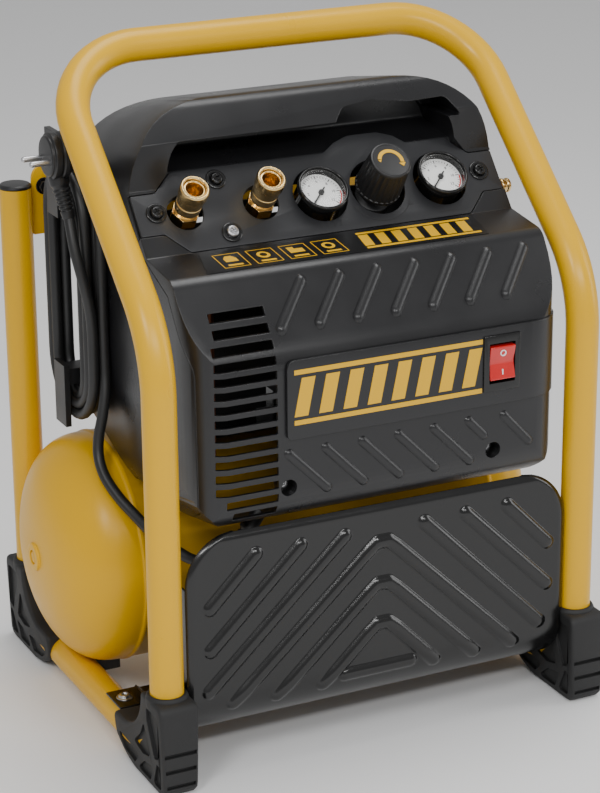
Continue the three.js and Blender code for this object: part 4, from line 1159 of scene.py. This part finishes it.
bell = [(6, 0.46), (17, 0.46), (17, 0.6), (14, 0.7), (9, 0.7), (6, 0.6)]
step = [(5, 0.46), (18, 0.46), (18, 0.62), (11, 0.62), (11, 0.7), (5, 0.7)]
for k in range(4):
    x = -116 + 29 * k
    shelf_frame(f"icon_{k}", x, x + 23, 0.22, 0.8, 0.7)
    picture = shelf_ring(x, 5.6, 6.2, 24)
    if k == 0:
        picture = [(x + a, t) for a, t in bell]
    if k == 2:
        picture = [(x + a, t) for a, t in step]
    shelf_mark(f"icon_{k}_picture", picture)
    if k in (1, 3):
        shelf_mark(f"icon_{k}_core", shelf_ring(x, 3.0, 3.3, 20), label_black, 0.42, 0.12)
    shelf_mark(f"icon_{k}_bar", [(x + 5, 0.29), (x + 18, 0.29), (x + 18, 0.35), (x + 5, 0.35)])
shelf_mark("strip_bar_low", [(10, 0.2), (116, 0.2), (116.6, 0.27), (10.6, 0.27)])
shelf_mark("strip_bar_high", [(14, 0.82), (120, 0.82), (120.6, 0.89), (14.6, 0.89)])
for k in range(7):
    x = 10 + 15.2 * k
    shelf_mark(f"strip_block_{k}", [(x + 0.6, 0.31), (x + 9.4, 0.31), (x + 13, 0.78), (x + 4.2, 0.78)])

# ---- control panel

panel = prism("panel", rounded(panel_outline(-0.3, 13), 10), -3, 0, "Z")
moved_to(panel, panel_matrix)
combined(panel, hole_cutters())
bevelled(panel, 0.9, 3, 40)
shown(panel, panel_plastic, replaces=["control_panel"], slot="panel_plastic", smooth=30)

washer_profile = [
    (0, -9), (2, -9), (2, 0.2), (8.6, 0.2), (8.6, 1.4), (7.8, 1.8), (5.8, 1.8), (5.6, 1.2), (0, 1.2),
]
for index, (x, along) in enumerate(((-148, 38), (-89, 61), (-89, 13), (148, 38))):
    matrix = frame_matrix((x, *on_panel(along)), (0, -ps, pc))
    turned(f"panel_washer_{index + 1}", washer_profile, 48, matrix, 0.3, black_paint,
           replaces=[f"panel_screw_{index + 1}"], slot="black_paint")
    head_profile = [(0, 1), (5.1, 1), (5.1, 3.6), (4.0, 4.6), (0, 4.8)]
    head = lathe(f"panel_screw_head_{index + 1}", head_profile, 40, matrix, 0.5)
    slots = []
    for turn in (0, math.pi / 2):
        slot = prism("slot", [(-2.8, -0.6), (2.8, -0.6), (2.8, 0.6), (-2.8, 0.6)], 3.0, 6, "Z")
        slots.append(moved_to(slot, matrix @ Matrix.Rotation(turn + 0.4, 4, "Z")))
    combined(head, slots)
    shown(head, steel if index == 2 else black_paint)


def panel_mark(name, outline):
    printed(name, outline, 0.02, 0.17, panel_matrix, print_grey)


def arc_strip(cx, cy, r0, r1, a0, a1, steps=20):
    """A curved strip between two radii and two angles in degrees."""
    angles = [math.radians(a0 + (a1 - a0) * k / steps) for k in range(steps + 1)]
    outer_arc = [(cx + r1 * math.cos(a), cy + r1 * math.sin(a)) for a in angles]
    return outer_arc + [(cx + r0 * math.cos(a), cy + r0 * math.sin(a)) for a in reversed(angles)]


knob_x = FITTINGS["regulator"][0]
panel_mark("turn_arc", arc_strip(knob_x, 34, 28.4, 29.4, 215, 325))
for tag, angle, up in (("left", 213, 1), ("right", 327, -1)):
    a = math.radians(angle)
    cx, cy = knob_x + 28.9 * math.cos(a), 34 + 28.9 * math.sin(a)
    panel_mark(f"turn_arrow_{tag}", [(cx - 3, cy + 2.4 * up), (cx + 3, cy + 2.4 * up), (cx, cy - 3 * up)])
for k in range(4):
    x = -11 + 6 * k
    panel_mark(f"gauge_mark_{k}", [(x, 6), (x + 1.4, 6), (x + 3, 11), (x + 1.6, 11)])
panel_mark("tank_mark", [(101, 5.5), (117, 5.5), (117, 6.3), (101, 6.3)])

# ---- couplers

barrel_profile = [
    (0, -33.7), (6.5, -33.7), (6.5, -7), (9, -7), (9, 31), (7.6, 31.4), (6.9, 30), (6.4, 24), (6.4, 14),
    (4.4, 12), (4.4, 6), (0, 6),
]
sleeve_profile = [
    (9.3, 6), (10.7, 6), (11, 8), (11, 13.6), (10.4, 14.2), (10.4, 15.2), (11, 15.8), (11, 22),
    (12.2, 24.2), (12.2, 32), (11.2, 33.5), (10.2, 33.5), (9.3, 32), (9.3, 6),
]
for side, _ in SIDES:
    matrix = fit_matrix(FITTINGS[f"coupler_{side}"][0])
    hexagon = prism(f"coupler_hex_{side}", circle(12.2, 6), -8, 2, "Z")
    # the cone takes the corners off both ends of the hexagon
    cone = lathe("cone", [(0, -9), (11.2, -9), (12.4, -6.5), (12.4, 0.6), (11.2, 3), (0, 3)], 48, None, 0)
    combined(hexagon, [cone], "INTERSECT")
    shown(moved_to(hexagon, matrix), brass, slot="brass")
    turned(f"coupler_barrel_{side}", barrel_profile, 56, matrix, 0.4, brass,
           replaces=[f"coupler_body_{side}"], slot="brass")
    turned(f"coupler_ring_{side}", sleeve_profile, 64, matrix, 0.4, brass,
           body=f"sleeve_{side}", replaces=[f"coupler_sleeve_{side}"], slot="brass")

# ---- gauges

case_profile = [
    (0, -33.7), (5, -33.7), (5, -19), (20.5, -19), (20.5, 4.6), (22, 5.4), (22, 9), (20.9, 10.2),
    (19.7, 10), (19.2, 8.4), (19.2, 1.5), (0, 1.5),
]
# The dials: a scale of ticks from lower left to lower right, a number at each long tick.
TICKS, SCALE_FROM, SCALE_SWEEP, LONG_EVERY = 31, 225, 270, 5
DIAL_TOP, PRINT_TOP, TICK_OUTER, NUMBER_R = 1.8, 1.9, 17, 11.4


def radial_strip(inner_r, outer_r, half, angle):
    """A thin bar that points away from the dial's middle."""
    c, s = math.cos(angle), math.sin(angle)
    corners = ((inner_r, half), (outer_r, half), (outer_r, -half), (inner_r, -half))
    return [(r * c - side * s, r * s + side * c) for r, side in corners]


def dial_number(name, value, angle, matrix):
    text = bpy.data.curves.new(name, "FONT")
    text.body = str(value)
    text.size = 3.6 * MM
    text.extrude = 0.04 * MM
    text.align_x = "CENTER"
    text.align_y = "CENTER"
    number = bpy.data.objects.new(name, text)
    scene.collection.objects.link(number)
    at = (NUMBER_R * math.cos(angle), NUMBER_R * math.sin(angle), PRINT_TOP)
    place = matrix @ Matrix.Translation(at)
    place.translation = place.translation * MM
    number.matrix_world = place
    shown(number, dial_black)


for which in ("tank", "line"):
    matrix = fit_matrix(FITTINGS[f"{which}_gauge"][0])
    turned(f"{which}_gauge_bezel", case_profile, 96, matrix, 0.7, gloss_black,
           replaces=[f"{which}_gauge_case"], slot="black_plastic")
    dial_profile = [(0, 1.55), (18.9, 1.55), (18.9, DIAL_TOP), (0, DIAL_TOP)]
    turned(f"{which}_gauge_dial", dial_profile, 64, matrix, 0, white_dial)
    for k in range(TICKS):
        angle = math.radians(SCALE_FROM - SCALE_SWEEP * k / (TICKS - 1))
        long = k % LONG_EVERY == 0
        tick = radial_strip(14.2 if long else 15.4, TICK_OUTER, 0.34 if long else 0.18, angle)
        printed(f"{which}_tick_{k}", tick, DIAL_TOP, PRINT_TOP, matrix, dial_black)
        if long:
            dial_number(f"{which}_number_{k}", k // LONG_EVERY * 2, angle, matrix)
    red = arc_strip(0, 0, 17.1, 18.2, -45, 0, 14)
    printed(f"{which}_red_zone", red, DIAL_TOP, PRINT_TOP, matrix, dial_red)
    glass_profile = [(0, 7.6), (18.9, 7.6), (18.9, 8.4), (0, 8.8)]
    turned(f"{which}_gauge_glass", glass_profile, 64, matrix, 0.3, lens_glass)
    nodes[f"{which}_gauge_needle"].data.materials.clear()
    nodes[f"{which}_gauge_needle"].data.materials.append(dial_black)

# ---- regulator


FLUTES, FLUTE_DEPTH, FLUTE_LOW, FLUTE_HIGH = 26, 0.045, 3, 33.5


def knob_flute(angle, height):
    """The share of the radius left at an angle by the grip's flutes."""
    if height < FLUTE_LOW or height > FLUTE_HIGH:
        return 1.0
    return 1.0 - FLUTE_DEPTH * (0.5 - 0.5 * math.cos(angle * FLUTES)) ** 0.6


knob_profile = [(5.4, 12), (5.4, -1), (19.4, -1), (20, 0.5), (20, 3)]
for k in range(1, 12):
    t = k / 11
    knob_profile.append((20 - 2.2 * t, 3 + 30.5 * t))
knob_profile += [(17.8, 34.5), (17.2, 36.6), (15.6, 37), (15.2, 36.4), (0, 36.4)]
regulator = fit_matrix(knob_x)
knob = lathe("regulator_grip", knob_profile, 208, regulator, 0.5, knob_flute)
shown(knob, black_plastic, body="regulator", replaces=["regulator_knob"], slot="black_plastic", smooth=50)
crescent = arc_strip(0, -0.6, 8.2, 11.4, -15, 165, 28)
printed("knob_crescent", crescent, 36.4, 36.7, regulator, label_yellow, "regulator")
for tag, angle, size in (("thin", 172, 1.6), ("wide", -22, 3.0)):
    a = math.radians(angle)
    cx, cy = 9.8 * math.cos(a), -0.6 + 9.8 * math.sin(a)
    tip = [(cx - size, cy + 0.4), (cx + size, cy + 0.4), (cx, cy - size * 1.1)]
    printed(f"knob_{tag}", tip, 36.4, 36.7, regulator, label_yellow, "regulator")
base_profile = [(0, -33.7), (16, -33.7), (16, -13), (9, -10), (9, -4), (5, -4), (5, 11.5), (0, 11.5)]
turned("regulator_base", base_profile, 48, regulator, 0.8, black_plastic,
       replaces=["regulator_body"], slot="cast_aluminium")

# ---- safety valve

pull_profile = [
    (0, 164.5), (2, 164.5), (2, 171.5), (5.8, 171.5), (6.4, 172.6), (6.4, 174.6), (5.4, 175.4),
    (5.4, 177), (6.2, 177.8), (6.2, 179.6), (4.6, 181), (0, 181),
]
turned("safety_pin", pull_profile, 40, valve_matrix, 0.3, brass,
       body="safety_pull", replaces=["safety_valve_pull"], slot="brass")

# ---- switch

bezel = switch_block("switch_frame", 17, 24, FRONT - 4.2, FRONT - 1, 0.9)
combined(bezel, [switch_block("switch_tub", 14.2, 20.2, FRONT - 3, FRONT + 22)], "UNION")
combined(bezel, [switch_block("switch_well", 12, 17, FRONT - 10, FRONT + 19)])
shown(bezel, gloss_black, replaces=["switch_housing"], slot="black_plastic", smooth=30)
rocker_outline = [
    (FRONT - 6, SWITCH_Z - 14.2, 1.2),
    (FRONT + 2, SWITCH_Z - 14.5, 1),
    (FRONT + 15, SWITCH_Z - 4, 2),
    (FRONT + 15, SWITCH_Z + 4, 2),
    (FRONT + 2, SWITCH_Z + 14.5, 1),
    (FRONT - 6, SWITCH_Z + 14.2, 1.2),
    (FRONT - 2.6, SWITCH_Z, 10),
]
rocker = prism("rocker", rounded(rocker_outline, 8), SWITCH_X - 11.6, SWITCH_X + 11.6, "X")
bevelled(rocker, 0.7, 3, 40)
shown(rocker, red_switch, body="switch", replaces=["switch_rocker"], slot="red_plastic", smooth=40)
ring = arc_strip(SWITCH_X, SWITCH_Z + 8.6, 1.9, 2.7, 0, 359.9, 28)
bar_low = (SWITCH_X - 0.45, FRONT - 5.0, SWITCH_Z - 10.6)
bar_high = (SWITCH_X + 0.45, FRONT - 4.0, SWITCH_Z - 5.6)
ring_mark = prism("rocker_ring", ring, FRONT - 5.6, FRONT - 4.4, "Y")
bar_mark = block("rocker_bar", bar_low, bar_high)
for mark in (ring_mark, bar_mark):
    shown(mark, mark_white, body="switch", smooth=20)

# ---- gland and plug

gland_matrix = frame_matrix(gland_at, gland_aim, (0, 1, 0))
gland_profile = [(0, -7), (6.5, -7), (6.5, 9.5), (7.8, 9.5), (7.8, 12), (6.8, 12.6)]
for k in range(7):
    z = 14.5 + k * 2.6
    r = 6.6 - 0.16 * k
    gland_profile += [(r - 0.7, z), (r - 0.7, z + 0.7), (r, z + 0.9), (r - 0.05, z + 2.4)]
gland_profile += [(5.5, 34), (0, 34)]
turned("strain_relief", gland_profile, 40, gland_matrix, 0.2, cord_rubber,
       replaces=["cord_gland"], slot="black_plastic")

plug_at = Vector((-198.1, 32, 486))
plug_matrix = frame_matrix(plug_at, (1, 0, 0), (0, 1, 0))
plug_profile = [
    (0, -10), (16, -10), (17.2, -9), (17.2, -7.4), (19.5, -6.8), (19.5, -1.5), (18.7, -1), (18.7, 0.5),
    (19.5, 1), (19.5, 5.4), (15.5, 9.6), (0, 10),
]
plug = turned("plug_round", plug_profile, 72, plug_matrix, 0.7, black_plastic,
              replaces=["plug_body"], slot="black_plastic")
boot_start = plug_at + Vector((-1, 0, -12))
boot_aim = (boot_end - boot_start).normalized()
boot_length = (boot_end - boot_start).length
boot_matrix = frame_matrix(boot_start, boot_aim)
boot_profile = [(0, 0), (8.5, 0), (8.4, 12), (7.6, 13.2)]
for k in range(6):
    z = 15 + k * 3.6
    r = 7.4 - 0.34 * k
    boot_profile += [(r - 0.8, z), (r - 0.8, z + 1.2), (r, z + 1.4), (r, z + 3.2)]
boot_profile += [(5.3, boot_length - 0.3), (0, boot_length - 0.3)]
boot = turned("plug_boot", boot_profile, 40, boot_matrix, 0.25, black_plastic)
pin_profile = [(0, -27), (1.6, -27), (2.4, -25.6), (2.4, -9), (0, -9)]
for tag, y in (("front", -9.5), ("back", 9.5)):
    turned(f"plug_pin_{tag}", pin_profile, 28, plug_matrix @ Matrix.Translation((y, -3, 0)), 0.3, steel)

# ---- floor and light

FLOOR_HALF, FLOOR_Z = 6000, -0.3
floor_corners = [(x * FLOOR_HALF, y * FLOOR_HALF, FLOOR_Z) for x, y in ((-1, -1), (1, -1), (1, 1), (-1, 1))]
floor = mesh_object("floor", floor_corners, [[0, 1, 2, 3]])
floor_mat = material("floor_white", (0.86, 0.86, 0.86), 0.6, tone=0.01, tone_scale=2, edge=0)
floor.data.materials.append(floor_mat)

world = bpy.data.worlds.new("world")
scene.world = world
world.use_nodes = True
world.node_tree.nodes["Background"].inputs["Color"].default_value = (1, 1, 1, 1)
world.node_tree.nodes["Background"].inputs["Strength"].default_value = 0.5


def area_light(name, place, target, size, power, size_y=None):
    data = bpy.data.lights.new(name, "AREA")
    data.energy = power
    data.size = size
    if size_y:
        data.shape = "RECTANGLE"
        data.size_y = size_y
    light = bpy.data.objects.new(name, data)
    scene.collection.objects.link(light)
    light.location = place
    light.rotation_euler = (Vector(target) - Vector(place)).to_track_quat("-Z", "Y").to_euler()


area_light("key", (-1.7, -1.5, 2.0), (0, 0, 0.3), 0.6, 24)
area_light("top", (0.3, 0.2, 2.4), (0, 0, 0.3), 1.2, 26)
area_light("front", (-0.2, -2.2, 1.7), (0, 0, 0.25), 1.8, 26, 0.22)
area_light("side", (2.2, -0.9, 1.0), (0, 0, 0.3), 0.7, 12, 1.5)
